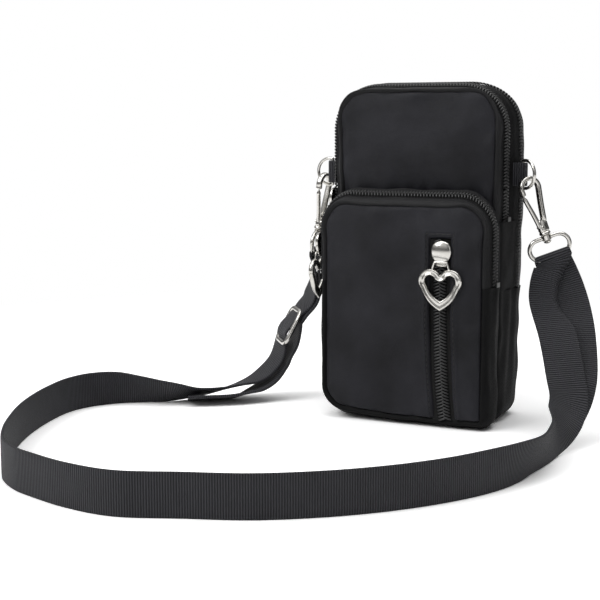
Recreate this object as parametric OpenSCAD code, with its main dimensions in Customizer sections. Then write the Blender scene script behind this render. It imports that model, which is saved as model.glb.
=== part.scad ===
// A small padded shoulder pouch for a phone, standing on its base.
// Two zipped compartments share the body, a zipped pocket sits on the front,
// and a long webbing strap is held by two swivel clasps.
// X runs across the front, -Y is the front, and Z is up from the base.

/* [Body] */
// Width over the sides
body_w = 100; // [94:1:112]
// Height over the top
body_h = 185; // [178:1:205]
// Depth of the main body, from its front seam to its back seam
main_d = 38.5; // [36:0.5:46]
// Radius of the upper corners of the main body
top_r = 26; // [22:1:32]
// Radius of the lower corners
low_r = 12; // [10:0.5:16]
// How far the seams lie inside the sides
seam_in = 5.5; // [4.5:0.5:6.5]
// Depth over which a side rounds into its seam
seam_round = 10; // [8:0.5:12]
// Thickness of the padded nylon
wall = 1.6; // [1.2:0.1:2]
// How far the upper front panel bulges
panel_crown = 2.4; // [1:0.2:3]

/* [Pocket] */
// Depth of the front pocket
pocket_d = 20; // [18:0.5:24]
// Height of the front pocket
pocket_h = 125; // [122:1:130]
// Radius of the upper corners of the pocket
pocket_r = 20; // [16:1:24]
// How far the pocket's face bulges
face_crown = 1.4; // [0.6:0.2:2]
// Place of the upright slot across the face
slot_x = 22.6; // [16:0.2:24]
// Width of the upright slot
slot_w = 13.6; // [12.6:0.2:15]
// Height of the top of the slot
slot_top = 102.5; // [96:0.5:106]

/* [Zips] */
// Width of a closed coil
coil_w = 6; // [5:0.2:6.4]
// Length along the zip that one tooth takes
tooth_pitch = 2.2; // [2:0.1:3]
// Width of the gap in the nylon that shows the coil
zip_gap = 7.4; // [7:0.1:8]
// Thickness of the zip's tape
tape_t = 0.6; // [0.4:0.1:0.8]
// Width of the padded band between a front seam and its zip
band_w = 5.4; // [4.5:0.1:6.5]
// Width of the padded band between the rear zip and the back seam
rear_band_w = 10.8; // [10:0.1:12]
// How far below the end of the main zip the rear zip ends
rear_zip_drop = 37.4; // [35:0.2:40]
// How far below the top of the pocket its zip ends
pocket_zip_drop = 48; // [43:1:50]

/* [Sliders and hearts] */
// Length of a slider's cap
cap_len = 13.2; // [12:0.2:14]
// Width of a slider's cap
cap_w = 11; // [10:0.2:12]
// Height of a slider's cap
cap_t = 3; // [2.8:0.1:3.4]
// Width of a heart pull
heart_w = 24; // [22:0.5:25]
// Height of a heart pull
heart_h = 22.6; // [21:0.2:24]
// Width of a heart's rim
heart_rim = 3.1; // [2.4:0.1:3.6]
// Thickness of a heart's rim
heart_t = 2.2; // [1.6:0.1:2.6]
// Drop from a slider's pin to the top of its heart
link_len = 3.5; // [3.4:0.1:5]
// Radius of a wire and of the pin that it turns on
link_r = 0.6; // [0.5:0.05:0.7]
// Height of the slot's slider
slot_slider_z = 94.5; // [80:0.5:95]

/* [Rings and clasps] */
// Height of the middle of the ring tabs over the end of the main zip
tab_rise = 25.1; // [24:0.1:29]
// How far a tab carries the bar of its ring from the side
tab_out = 5.6; // [5:0.1:7]
// Thickness of the tab's webbing
tab_t = 1.2; // [1:0.1:1.4]
// Radius of the wire of a D ring
ring_wire_r = 0.9; // [0.7:0.05:1]
// Half height of a D ring between wire centres
ring_half = 7.5; // [7:0.1:8]
// Straight arm of a D ring
ring_arm = 2.2; // [1.6:0.1:3]
// Radius of the round nose of a hook
nose_r = 6.5; // [6.2:0.1:7]
// Width of a hook's bars
hook_bar = 2.2; // [1.9:0.1:2.4]
// Depth of a hook's bars
hook_t = 3.6; // [3.4:0.1:4]
// Length of a hook from its swivel to the middle of its nose
hook_len = 33.6; // [32:0.2:36]
// Width of a swivel ring
swivel_w = 24.6; // [24:0.2:26]
// Height of a swivel ring
swivel_h = 13.6; // [13:0.2:14.4]
// Radius of the wire of a swivel ring
swivel_wire_r = 1.2; // [1:0.05:1.4]

/* [Strap] */
// Width of the webbing
strap_w = 20; // [18:1:20]
// Thickness of the webbing
strap_t = 1.6; // [1.2:0.1:1.8]
// Length of the adjuster along the strap
adjuster_len = 21; // [19:0.5:23]
// Width of the adjuster across the strap
adjuster_w = 26; // [25:0.5:28]
// Thickness of the adjuster's frame
adjuster_t = 2.4; // [2:0.1:2.8]
// Width of the adjuster's bars
adjuster_bar = 3; // [2.4:0.1:3.4]

/* [Hidden] */

// One overrun serves every cut, and soft pieces on different bodies keep this gap
overrun = 1;
soft_gap = 0.3;
// Running clearance round a pin, and the play of a ring in its cloth tab
pin_gap = 0.1;
tab_gap = 0.2;
// Steps of a rounded corner, of a rounded seam and of a heart's lobe
corner_steps = 8;
round_steps = 5;
lobe_steps = 10;
notch_steps = 3;

half_w = body_w / 2;
total_d = main_d + pocket_d;
pocket_y = -total_d / 2;
main_y = pocket_y + pocket_d;
back_y = total_d / 2;
// Flat metal clips close the ends of the side zips, and each slider is parked against one.
// A flap folds just over its parked slider, a whole number of teeth above the end of its zip.
stop_h = 2.4;
stop_t = 0.5;
parked_teeth = ceil((stop_h + cap_len + 2 * soft_gap) / tooth_pitch);
parked = parked_teeth * tooth_pitch;
fold_gap = 3;
fold_z = pocket_h + fold_gap;
main_zip_end = fold_z - parked;
rear_zip_end = main_zip_end - rear_zip_drop;
rear_fold_z = rear_zip_end + parked;
pocket_zip_end = pocket_h - pocket_zip_drop;
tab_z = main_zip_end + tab_rise;
main_slider_z = main_zip_end + stop_h + soft_gap + cap_len / 2;
rear_slider_z = rear_zip_end + stop_h + soft_gap + cap_len / 2;
slider_rise = 2.4;
pocket_slider_z = pocket_h - pocket_r - slider_rise - cap_len / 2;
main_coil_y = main_y + band_w + zip_gap / 2;
rear_coil_y = back_y - rear_band_w - zip_gap / 2;
pocket_coil_y = pocket_y + band_w + zip_gap / 2;
// The pocket's back seam is drawn in over this depth, and lies this far inside the sides
pocket_back_round = 6;
pocket_back_in = seam_in + soft_gap;

// Levels of tape and coil, measured outwards from the surface of the side
tape_top = -0.7;
tape_low = tape_top - tape_t;
coil_low = tape_top;
coil_top = 0.4;
tooth_root = 0.5;
// Share of a tooth that its flanks take
flank_share = 0.2;

function arch_length(a) = 2 * (a[2] - a[3] - a[1]) + PI * a[3] + 2 * (a[0] - a[3]);

// A place on an arch that climbs the left side, crosses the top and comes down on the right.
// The arch is its half width, end height, top height and corner radius.
// The place is given as x, z and the outward direction in x and z.
function arch_at(a, s) =
    let (side = a[2] - a[3] - a[1])
    let (bend = PI * a[3] / 2)
    let (span = 2 * (a[0] - a[3]))
    s < side ? [-a[0], a[1] + s, -1, 0]
    : s < side + bend ? corner_at(a, -1, 180 - (s - side) / bend * 90)
    : s < side + bend + span ? [-a[0] + a[3] + s - side - bend, a[2], 0, 1]
    : s < side + 2 * bend + span ? corner_at(a, 1, 90 - (s - side - bend - span) / bend * 90)
    : [a[0], a[1] + arch_length(a) - s, 1, 0];

function corner_at(a, hand, turn) =
    [hand * (a[0] - a[3]) + a[3] * cos(turn), a[2] - a[3] + a[3] * sin(turn), cos(turn), sin(turn)];

function arch_path(a) = concat(
    [[-a[0], a[1], -1, 0]],
    [for (i = [0:corner_steps]) corner_at(a, -1, 180 - 90 * i / corner_steps)],
    [for (i = [0:corner_steps]) corner_at(a, 1, 90 - 90 * i / corner_steps)],
    [[a[0], a[1], 1, 0]]);

// The same arch turned upside down, for the pieces that run round the base
function sling_path(w, end, r) = [for (p = arch_path([w, -end, 0, r])) -p];

// The closed outline of a panel drawn in from the sides by a margin
function panel_outline(low, high, low_r, high_r, margin) = concat(
    [for (p = arch_path([half_w, (low + high) / 2, high, high_r]))
        [p[0] - p[2] * margin, p[1] - p[3] * margin]],
    [for (p = arch_path([half_w, -(low + high) / 2, -low, low_r]))
        [-p[0] + p[2] * margin, -p[1] + p[3] * margin]]);

// How far the side is drawn in at a depth behind a seam
function drawn_in(depth, round_d, amount) =
    depth >= round_d ? 0 : amount * (1 - sqrt(1 - pow((round_d - depth) / round_d, 2)));

// Outer line of a band between two depths, as pairs of outward level and y
function main_line(from, to) = [for (i = [0:round_steps])
    let (y = from + (to - from) * i / round_steps)
    [-drawn_in(y - main_y, seam_round, seam_in) - drawn_in(back_y - y, seam_round, seam_in), y]];
function pocket_line(from, to) = [for (i = [0:round_steps])
    let (y = from + (to - from) * i / round_steps)
    [-drawn_in(y - pocket_y, seam_round, seam_in)
        - drawn_in(main_y - y, pocket_back_round, pocket_back_in), y]];

// The inner face of a band follows its outer line one wall further in.
// At a front or back seam the band ends square against the edge of the panel.
function inner_line(line) =
    let (last = len(line) - 1)
    [for (i = [0:last])
        let (a = line[max(i - 1, 0)])
        let (b = line[min(i + 1, last)])
        let (d = (b - a) / norm(b - a))
        i == 0 && line[i][0] < 0 ? line[i] + [0, wall]
        : i == last && line[i][1] == back_y ? line[i] - [0, wall]
        : i == 0 || i == last ? line[i] - [wall, 0]
        : line[i] + wall * [-d[1], d[0]]];

// Sweeps a thick line round a path as one closed solid
module band(path, line) {
    inner = inner_line(line);
    m = len(line);
    n = len(path);
    section = concat(line, [for (i = [m - 1:-1:0]) inner[i]]);
    points = [for (p = path) for (q = section) [p[0] + p[2] * q[0], q[1], p[1] + p[3] * q[0]]];
    sides = [for (i = [0:n - 2]) for (j = [0:2 * m - 1])
        let (k = (j + 1) % (2 * m))
        each [[i * 2 * m + j, (i + 1) * 2 * m + j, (i + 1) * 2 * m + k],
            [i * 2 * m + j, (i + 1) * 2 * m + k, i * 2 * m + k]]];
    last = (n - 1) * 2 * m;
    caps = [for (j = [0:m - 2])
        each [[j, j + 1, 2 * m - 2 - j], [j, 2 * m - 2 - j, 2 * m - 1 - j],
            [last + j, last + 2 * m - 2 - j, last + j + 1],
            [last + j, last + 2 * m - 1 - j, last + 2 * m - 2 - j]]];
    polyhedron(points, concat(sides, caps));
}

// A flat strip that follows a path between two levels and two depths
module strip(path, low, high, from, to) {
    outer = [for (p = path) [p[0] + p[2] * high, p[1] + p[3] * high]];
    inner = [for (i = [len(path) - 1:-1:0]) let (p = path[i]) [p[0] + p[2] * low, p[1] + p[3] * low]];
    translate([0, to, 0]) rotate([90, 0, 0]) linear_extrude(to - from) polygon(concat(outer, inner));
}

// One half of a coil along an arch, as a comb whose teeth point outwards
module coil(a, from, to, shift, s_start, s_end) {
    count = floor((s_end - s_start) / tooth_pitch - 1);
    flank = tooth_pitch * flank_share;
    teeth = [for (i = [0:count - 1])
        let (s = s_start + (i + shift) * tooth_pitch)
        let (mid = s + tooth_pitch / 2)
        each [[s, tooth_root], [s + flank, 1], [mid, 1], [mid + flank, tooth_root]]];
    marks = concat([[s_start, tooth_root]], teeth, [[s_end, tooth_root]]);
    outer = [for (t = marks)
        let (p = arch_at(a, t[0]))
        let (level = coil_low + (coil_top - coil_low) * t[1])
        [p[0] + p[2] * level, p[1] + p[3] * level]];
    inner = [for (i = [len(marks) - 1:-1:0])
        let (p = arch_at(a, marks[i][0]))
        [p[0] + p[2] * coil_low, p[1] + p[3] * coil_low]];
    translate([0, to, 0]) rotate([90, 0, 0]) linear_extrude(to - from) polygon(concat(outer, inner));
}

// A padded panel with a crown, from rings of its outline shrunk towards the middle.
// The crown points to the front for facing -1 and to the back for facing 1.
ring_shares = [1, 0.94, 0.84, 0.68, 0.42];
module crowned_panel(outline, y, crown, facing) {
    n = len(outline);
    k = len(ring_shares);
    low = min([for (p = outline) p[1]]);
    high = max([for (p = outline) p[1]]);
    middle = [0, (low + high) / 2];
    function ring(share, level) = [for (p = outline)
        let (q = middle + (p - middle) * share) [q[0], level, q[1]]];
    function lift(share) = facing * crown * (1 - pow(share, 3));
    outer = [for (s = ring_shares) each ring(s, y + lift(s))];
    inner = [for (s = ring_shares) each ring(s, y - facing * wall + lift(s))];
    tips = [[middle[0], y + lift(0), middle[1]], [middle[0], y - facing * wall + lift(0), middle[1]]];
    points = concat(outer, inner, tips);
    faces = concat(
        [for (r = [0:k - 2]) for (i = [0:n - 1])
            let (j = (i + 1) % n)
            each [[r * n + i, (r + 1) * n + i, (r + 1) * n + j], [r * n + i, (r + 1) * n + j, r * n + j],
                [(k + r) * n + i, (k + r + 1) * n + j, (k + r + 1) * n + i],
                [(k + r) * n + i, (k + r) * n + j, (k + r + 1) * n + j]]],
        [for (i = [0:n - 1])
            let (j = (i + 1) % n)
            each [[(k - 1) * n + i, 2 * k * n, (k - 1) * n + j],
                [(2 * k - 1) * n + j, 2 * k * n + 1, (2 * k - 1) * n + i],
                [i, j, k * n + j], [i, k * n + j, k * n + i]]]);
    polyhedron(points, facing < 0 ? [for (f = faces) [f[2], f[1], f[0]]] : faces);
}

module flat_panel(outline, y) {
    translate([0, y, 0]) rotate([90, 0, 0]) linear_extrude(wall) polygon(outline);
}

main_arch = [half_w, main_zip_end, body_h, top_r];
flap_arch = [half_w, fold_z, body_h, top_r];
rear_arch = [half_w, rear_zip_end, body_h, top_r];
rear_flap_arch = [half_w, rear_fold_z, body_h, top_r];
pocket_arch = [half_w, pocket_zip_end, pocket_h, pocket_r];
cloth = [0.15, 0.15, 0.17];
trim = [0.13, 0.13, 0.14];
zip_black = [0.08, 0.08, 0.08];
webbing = [0.2, 0.2, 0.21];
nickel = [0.78, 0.77, 0.75];

// The wall behind the pocket, flat because the pocket is sewn round it
module main_front_panel() {
    outline = [for (p = panel_outline(0, 2 * fold_z, low_r, low_r, seam_in)) if (p[1] < fold_z) p];
    top = fold_z - soft_gap;
    corners = [[-half_w + seam_in, top], [half_w - seam_in, top]];
    color(cloth) flat_panel(concat(corners, outline), main_y + wall);
}

module main_flap_panel() {
    upper = [for (p = arch_path(flap_arch)) [p[0] - p[2] * seam_in, p[1] - p[3] * seam_in]];
    color(cloth) crowned_panel(upper, main_y, panel_crown, -1);
}

module main_flap_band() {
    color(trim) band(arch_path(flap_arch), main_line(main_y, main_y + band_w));
}

module straight_ends(low, high) {
    for (side = [-1, 1])
        band([for (z = side < 0 ? [low, high] : [high, low]) [side * half_w, z, side, 0]], $line);
}

// The short pieces of band below the folds, where the sliders are parked
module main_end_bands() {
    $line = main_line(main_y, main_y + band_w);
    straight_ends(main_zip_end, fold_z - soft_gap);
}
module rear_end_bands() {
    $line = main_line(back_y - rear_band_w, back_y);
    straight_ends(rear_zip_end, rear_fold_z - soft_gap);
}
module zip_band_ends() {
    color(trim) main_end_bands();
    color(trim) rear_end_bands();
}

module main_middle_band() {
    line = main_line(main_coil_y + zip_gap / 2, rear_coil_y - zip_gap / 2);
    color(trim) band(arch_path(main_arch), line);
}

// The pieces of the sides between the ends of the main and the rear zip
module side_gussets() {
    $line = main_line(main_y, rear_coil_y - zip_gap / 2);
    color(trim) straight_ends(rear_zip_end, main_zip_end);
}

module lower_gusset() {
    front_line = main_line(main_y, main_y + seam_round);
    back_line = main_line(back_y - seam_round, back_y);
    color(trim) band(sling_path(half_w, rear_zip_end, low_r), concat(front_line, back_line));
}

module back_panel() {
    outline = [for (p = panel_outline(0, 2 * rear_fold_z, low_r, low_r, seam_in)) if (p[1] < rear_fold_z) p];
    top = rear_fold_z - soft_gap;
    corners = [[-half_w + seam_in, top], [half_w - seam_in, top]];
    color(cloth) flat_panel(concat(corners, outline), back_y);
}

module rear_flap_panel() {
    upper = [for (p = arch_path(rear_flap_arch)) [p[0] - p[2] * seam_in, p[1] - p[3] * seam_in]];
    color(cloth) crowned_panel(upper, back_y, face_crown, 1);
}

module rear_flap_band() {
    color(trim) band(arch_path(rear_flap_arch), main_line(back_y - rear_band_w, back_y));
}

// The wall between the two compartments, hung from the middle band
divider_gap = 0.3;
module compartment_divider() {
    margin = wall + divider_gap;
    outline = panel_outline(0, body_h, low_r, top_r, margin);
    middle = (main_coil_y + rear_coil_y) / 2;
    color(cloth) flat_panel(outline, middle + wall / 2);
}

module pocket_face() {
    outline = panel_outline(0, pocket_h, low_r, pocket_r, seam_in);
    slot_low = seam_in;
    color(cloth) difference() {
        crowned_panel(outline, pocket_y, face_crown, -1);
        translate([slot_x - slot_w / 2, pocket_y - face_crown - overrun, slot_low - overrun])
            cube([slot_w, face_crown + wall + 2 * overrun, slot_top - slot_low + overrun]);
    }
}

module pocket_front_band() {
    color(trim) band(arch_path(pocket_arch), pocket_line(pocket_y, pocket_y + band_w));
}

module pocket_back_band() {
    color(trim) band(arch_path(pocket_arch), pocket_line(pocket_coil_y + zip_gap / 2, main_y));
}

module pocket_gusset() {
    front_line = pocket_line(pocket_y, pocket_y + seam_round);
    back_line = pocket_line(main_y - pocket_back_round, main_y);
    color(trim) band(sling_path(half_w, pocket_zip_end, low_r), concat(front_line, back_line));
}

// A flat cloth lining behind the face, sewn into its seam and reached through the upright slot
lining_t = 0.8;
module slip_lining() {
    outline = panel_outline(0, pocket_h, low_r, pocket_r, seam_in);
    color(zip_black) translate([0, pocket_y + wall + lining_t, 0])
        rotate([90, 0, 0]) linear_extrude(lining_t) polygon(outline);
}

module tape_pair(a, y) {
    path = arch_path(a);
    strip(path, tape_low, tape_top, y - zip_gap / 2, y - soft_gap / 2);
    strip(path, tape_low, tape_top, y + soft_gap / 2, y + zip_gap / 2);
}

module main_flap_tape() {
    edge = main_coil_y - zip_gap / 2;
    color(zip_black) strip(arch_path(flap_arch), tape_low, tape_top, edge, main_coil_y - soft_gap / 2);
}

module straight_strips(low, high, from, to) {
    for (side = [-1, 1]) {
        path = [for (z = side < 0 ? [low, high] : [high, low]) [side * half_w, z, side, 0]];
        strip(path, tape_low, tape_top, from, to);
    }
}

module zip_tape_ends() {
    main_edge = main_coil_y - zip_gap / 2;
    rear_edge = rear_coil_y + zip_gap / 2;
    color(zip_black) {
        straight_strips(main_zip_end, fold_z - soft_gap, main_edge, main_coil_y - soft_gap / 2);
        straight_strips(rear_zip_end, rear_fold_z - soft_gap, rear_coil_y + soft_gap / 2, rear_edge);
    }
}

module main_body_tape() {
    edge = main_coil_y + zip_gap / 2;
    color(zip_black) strip(arch_path(main_arch), tape_low, tape_top, main_coil_y + soft_gap / 2, edge);
}

module main_flap_coil() {
    length = arch_length(flap_arch);
    color(zip_black) coil(flap_arch, main_coil_y - coil_w / 2, main_coil_y - soft_gap / 2, 0, 0, length);
}

module coil_ends(a, from, to) {
    short = parked - soft_gap;
    whole = arch_length(a);
    coil(a, from, to, 0, 0, short);
    coil(a, from, to, 0, whole - short, whole);
}
module zip_coil_ends() {
    color(zip_black) coil_ends(main_arch, main_coil_y - coil_w / 2, main_coil_y - soft_gap / 2);
    color(zip_black) coil_ends(rear_arch, rear_coil_y + soft_gap / 2, rear_coil_y + coil_w / 2);
}

module main_body_coil() {
    length = arch_length(main_arch);
    color(zip_black) coil(main_arch, main_coil_y + soft_gap / 2, main_coil_y + coil_w / 2, 1 / 2, 0, length);
}

module rear_flap_tape() {
    edge = rear_coil_y + zip_gap / 2;
    color(zip_black) strip(arch_path(rear_flap_arch), tape_low, tape_top, rear_coil_y + soft_gap / 2, edge);
}

module rear_body_tape() {
    edge = rear_coil_y - zip_gap / 2;
    color(zip_black) strip(arch_path(rear_arch), tape_low, tape_top, edge, rear_coil_y - soft_gap / 2);
}

module rear_flap_coil() {
    length = arch_length(rear_flap_arch);
    edge = rear_coil_y + coil_w / 2;
    color(zip_black) coil(rear_flap_arch, rear_coil_y + soft_gap / 2, edge, 0, 0, length);
}

module rear_body_coil() {
    length = arch_length(rear_arch);
    color(zip_black) coil(rear_arch, rear_coil_y - coil_w / 2, rear_coil_y - soft_gap / 2, 1 / 2, 0, length);
}

module pocket_zip_tapes() {
    color(zip_black) tape_pair(pocket_arch, pocket_coil_y);
}

module pocket_zip_coils() {
    length = arch_length(pocket_arch);
    color(zip_black) {
        coil(pocket_arch, pocket_coil_y - coil_w / 2, pocket_coil_y - soft_gap / 2, 0, 0, length);
        coil(pocket_arch, pocket_coil_y + soft_gap / 2, pocket_coil_y + coil_w / 2, 1 / 2, 0, length);
    }
}

// The slot's tape lies level with the seam of the pocket's face, which bulges round it
slot_tape_y = pocket_y;
slot_low_z = seam_in;
module slot_zip_tapes() {
    color(zip_black) for (side = [-1, 1])
        translate([slot_x + (side < 0 ? -slot_w / 2 : soft_gap / 2), slot_tape_y, slot_low_z])
            cube([(slot_w - soft_gap) / 2, tape_t, slot_top - slot_low_z]);
}

slot_coil_t = 1.3;
module slot_zip_coils() {
    length = slot_top - slot_low_z;
    count = floor(length / tooth_pitch - 1);
    flank = tooth_pitch * flank_share;
    low = slot_coil_t * tooth_root;
    color(zip_black) for (side = [-1, 1]) {
        shift = side < 0 ? 0 : tooth_pitch / 2;
        teeth = [for (i = [0:count - 1])
            let (z = shift + i * tooth_pitch)
            let (mid = z + tooth_pitch / 2)
            each [[low, z], [slot_coil_t, z + flank], [slot_coil_t, mid], [low, mid + flank]]];
        marks = [for (t = teeth) if (t[1] > 0) t];
        outline = concat([[0, length], [0, 0], [low, 0]], marks, [[low, length]]);
        width = (coil_w - soft_gap) / 2;
        translate([slot_x + (side < 0 ? -coil_w / 2 : soft_gap / 2), slot_tape_y, slot_low_z])
            rotate([90, 0, 90]) mirror([1, 0, 0]) linear_extrude(width) polygon(outline);
    }
}

module zip_stops() {
    places = [[main_coil_y, main_zip_end], [rear_coil_y, rear_zip_end], [pocket_coil_y, pocket_zip_end]];
    color(nickel) for (place = places) for (side = [-1, 1])
        translate([side * (half_w + coil_top + stop_t / 2), place[0], place[1] + stop_h / 2])
            cube([stop_t, coil_w - soft_gap, stop_h], center = true);
}

// Moves a piece from its own frame, where it faces the front, to the left side
module on_left_side(y, z) {
    translate([-half_w, y, z]) rotate([0, 0, -90]) children();
}

// The slider rides over the coil with flanges on both sides.
// Its cap is an egg that narrows to the end where the pull hangs.
plate_t = 0.7;
flange_t = 0.4;
flange_drop = 0.9;
lug_r_share = 0.52;
pin_level = 1.9;
pin_drop = 4.3;
rise_share = 0.86;
module slider(level) {
    wide_r = cap_w / 2;
    low_r = wide_r * lug_r_share;
    up = cap_len / 2 - wide_r;
    down = -cap_len / 2 + low_r;
    base = level + soft_gap;
    flange_x = coil_w / 2 + pin_gap + flange_t / 2;
    module disc(r, z, from, to) {
        translate([0, -to, z]) rotate([-90, 0, 0]) cylinder(r = r, h = to - from, $fn = 28);
    }
    difference() {
        union() {
            hull() {
                disc(wide_r, up, base, base + plate_t);
                disc(low_r, down, base, base + plate_t);
                disc(wide_r * rise_share, up, base, base + cap_t * rise_share);
                disc(wide_r / 2, up, base, base + cap_t);
                disc(low_r * rise_share, down, base, base + cap_t * rise_share);
                disc(low_r / 2, down, base, base + cap_t);
            }
            for (side = [-1, 1])
                translate([side * flange_x, (flange_drop - plate_t) / 2 - base, up])
                    cube([flange_t, flange_drop + plate_t, wide_r], center = true);
        }
        translate([-wide_r - overrun, -level - pin_level, -pin_drop])
            rotate([0, 90, 0]) cylinder(r = link_r + pin_gap, h = 2 * wide_r + 2 * overrun, $fn = 32);
    }
}

// A heart from its lobe radius, lobe offset and the drop of its tip under the lobes.
// With a rim it is the outline of the hole inside, rounded where it passes under the notch.
function heart_points(r, a, drop, rim) =
    let (notch = 180 - acos(a / r))
    let (tangent = atan2(-drop, -a) + acos(r / norm([a, drop])))
    let (under = [for (i = [0:notch_steps - 1])
        let (t = -90 + (notch - 90) * i / notch_steps)
        [rim * cos(t), r * sin(notch) + rim * sin(t)]])
    let (lobe = [for (i = [0:lobe_steps])
        let (t = notch + (tangent - notch) * i / lobe_steps)
        [a + (r - rim) * cos(t), (r - rim) * sin(t)]])
    let (half = rim > 0 ? concat(under, lobe) : lobe)
    concat(half, [[0, -drop - rim / sin(tangent)]],
        [for (i = [len(half) - 1:-1:1]) [-half[i][0], half[i][1]]]);

lobe_share = 0.27;
// The heart hangs on two wires from a pin through the slider's cap
module heart(level) {
    r = heart_w * lobe_share;
    a = heart_w / 2 - r;
    drop = heart_h - r;
    spread = a - link_r;
    pin_half = cap_w / 2 * lug_r_share + link_r + pin_gap;
    translate([0, -level - pin_level, -pin_drop]) {
        translate([0, heart_t / 2, -link_len - r])
            rotate([90, 0, 0]) linear_extrude(heart_t) difference() {
                polygon(heart_points(r, a, drop, 0));
                polygon(heart_points(r, a, drop, heart_rim));
            }
        translate([-pin_half, 0, 0]) rotate([0, 90, 0]) cylinder(r = link_r, h = 2 * pin_half, $fn = 24);
        for (side = [-1, 1]) {
            from = [side * pin_half, 0, 0];
            to = [side * spread, 0, -link_len - heart_rim / 2];
            run = to - from;
            translate(from) sphere(r = link_r, $fn = 24);
            translate(from) rotate([0, 180 - atan2(run[0], -run[2]), 0])
                cylinder(r = link_r, h = norm(run), $fn = 24);
        }
    }
}

module slot_slider() {
    color(nickel) translate([slot_x, slot_tape_y, slot_slider_z]) slider(slot_coil_t);
}
module slot_heart() {
    color(nickel) translate([slot_x, slot_tape_y, slot_slider_z]) heart(slot_coil_t);
}
module pocket_slider() {
    color(nickel) on_left_side(pocket_coil_y, pocket_slider_z) slider(coil_top);
}
module pocket_heart() {
    color(nickel) on_left_side(pocket_coil_y, pocket_slider_z) heart(coil_top);
}
module main_slider() {
    color(nickel) on_left_side(main_coil_y, main_slider_z) slider(coil_top);
}
module main_heart() {
    color(nickel) on_left_side(main_coil_y, main_slider_z) heart(coil_top);
}
module rear_slider() {
    color(nickel) on_left_side(rear_coil_y, rear_slider_z) slider(coil_top);
}
module rear_heart() {
    color(nickel) on_left_side(rear_coil_y, rear_slider_z) heart(coil_top);
}

// The tab is a loop of narrow webbing round the bar of the D ring.
// It stands a little behind the middle of its band, clear of the main slider's path.
tab_back = 0.8;
tab_y = (main_coil_y + rear_coil_y) / 2 + tab_back;
tab_half = ring_half - ring_wire_r - tab_gap;
module ring_tab(side) {
    inner_r = ring_wire_r + tab_gap;
    outer_r = inner_r + tab_t;
    color(webbing) translate([side * half_w, tab_y, tab_z - tab_half])
        mirror([side < 0 ? 1 : 0, 0, 0]) linear_extrude(2 * tab_half) difference() {
            union() {
                translate([tab_out, 0]) circle(r = outer_r, $fn = 32);
                translate([0, -outer_r]) square([tab_out, 2 * outer_r]);
            }
            translate([tab_out, 0]) circle(r = inner_r, $fn = 32);
        }
}
module ring_tab_right() { ring_tab(1); }
module ring_tab_left() { ring_tab(-1); }

// Turn of each D ring about its bar, measured from straight out, towards the front on the right
right_ring_turn = -38;
left_ring_turn = 170;
module d_ring(side, turn) {
    color(nickel) translate([side * (half_w + tab_out), tab_y, tab_z]) rotate([0, 0, turn]) {
        translate([0, 0, -ring_half]) cylinder(r = ring_wire_r, h = 2 * ring_half, $fn = 32);
        for (end = [-1, 1]) {
            translate([0, 0, end * ring_half]) sphere(r = ring_wire_r, $fn = 32);
            translate([0, 0, end * ring_half]) rotate([0, 90, 0])
                cylinder(r = ring_wire_r, h = ring_arm, $fn = 32);
        }
        translate([ring_arm, 0, 0]) rotate([90, 0, 0]) rotate([0, 0, -90])
            rotate_extrude(angle = 180, $fn = 48)
                translate([ring_half, 0]) circle(r = ring_wire_r, $fn = 24);
    }
}
module d_ring_right() { d_ring(1, right_ring_turn); }
module d_ring_left() { d_ring(-1, left_ring_turn); }

// A clasp stands in its own frame, with its swivel axis up through the middle of the swivel ring.
// The frame is placed so that the nose closes round the D ring, this far out from the ring's bar.
grip_out = 5.6;
nose_play = 0.8;
function grip_point(side, turn) =
    let (out = grip_out - ring_arm)
    [side * (half_w + tab_out) + grip_out * cos(turn), tab_y + grip_out * sin(turn),
        tab_z - sqrt(pow(ring_half, 2) - pow(out, 2))];
right_tilt = -20;
right_face = 24;
left_tilt = 7;
left_face = 96;
// Each hook is swivelled this far on its ring, so that its eye lines up with the wire of the D ring
right_swivel = 25;
left_swivel = -15;
module at_right_clasp() {
    translate(grip_point(1, right_ring_turn)) rotate([0, 0, right_face]) rotate([0, right_tilt, 0])
        translate([0, 0, -hook_len - nose_play]) children();
}
module at_left_clasp() {
    translate(grip_point(-1, left_ring_turn)) rotate([0, left_tilt, 0]) rotate([0, 0, left_face])
        translate([0, 0, -hook_len - nose_play]) children();
}

// The hook turns on a shank that runs through a boss on the swivel ring
shank_r = 1.2;
boss_r = 2.6;
boss_half = 1.6;
boss_z = swivel_h / 2 - swivel_wire_r;
head_r = 1.9;
head_h = 1.4;
collar_r = 3;
collar_h = 1.8;
seat_gap = 0.15;
base_z = boss_z + boss_half + seat_gap;
cheek_z = base_z + collar_h;
// The gate turns on a pin between the cheeks of a fork and closes the eye under the nose
fork_half = 3.1;
cheek_gap = 1;
slot_floor = 0.5;
spring_room = 0.5;
gate_pin_in = 1.6;
gate_pin_rise = 2.6;
gate_pin_r = 0.8;
gate_pin_z = cheek_z + gate_pin_rise;
fork_top = gate_pin_z + gate_pin_rise;
eye_rise = 3;
eye_low = fork_top + eye_rise;
eye_half = 0.8;
eye_r = nose_r - hook_bar;
nose_turn = 200;
nose_dip = 12;
gate_play = 0.15;
nose_foot = hook_len + 2 * eye_r * sin(nose_turn);

// A pear from the radius of its nose and the half width and height of its foot
function pear(r, half, low) = concat([[half, low]],
    [for (i = [0:2 * corner_steps])
        let (t = -nose_dip + (180 + 2 * nose_dip) * i / (2 * corner_steps))
        [r * cos(t), hook_len + r * sin(t)]],
    [[-half, low]]);

module flat_shape(depth) {
    translate([0, depth / 2, 0]) rotate([90, 0, 0]) linear_extrude(depth) children();
}

module across(r, x, z) {
    translate([x, hook_t, z]) rotate([90, 0, 0]) cylinder(r = r, h = 2 * hook_t, $fn = 32);
}

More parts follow.
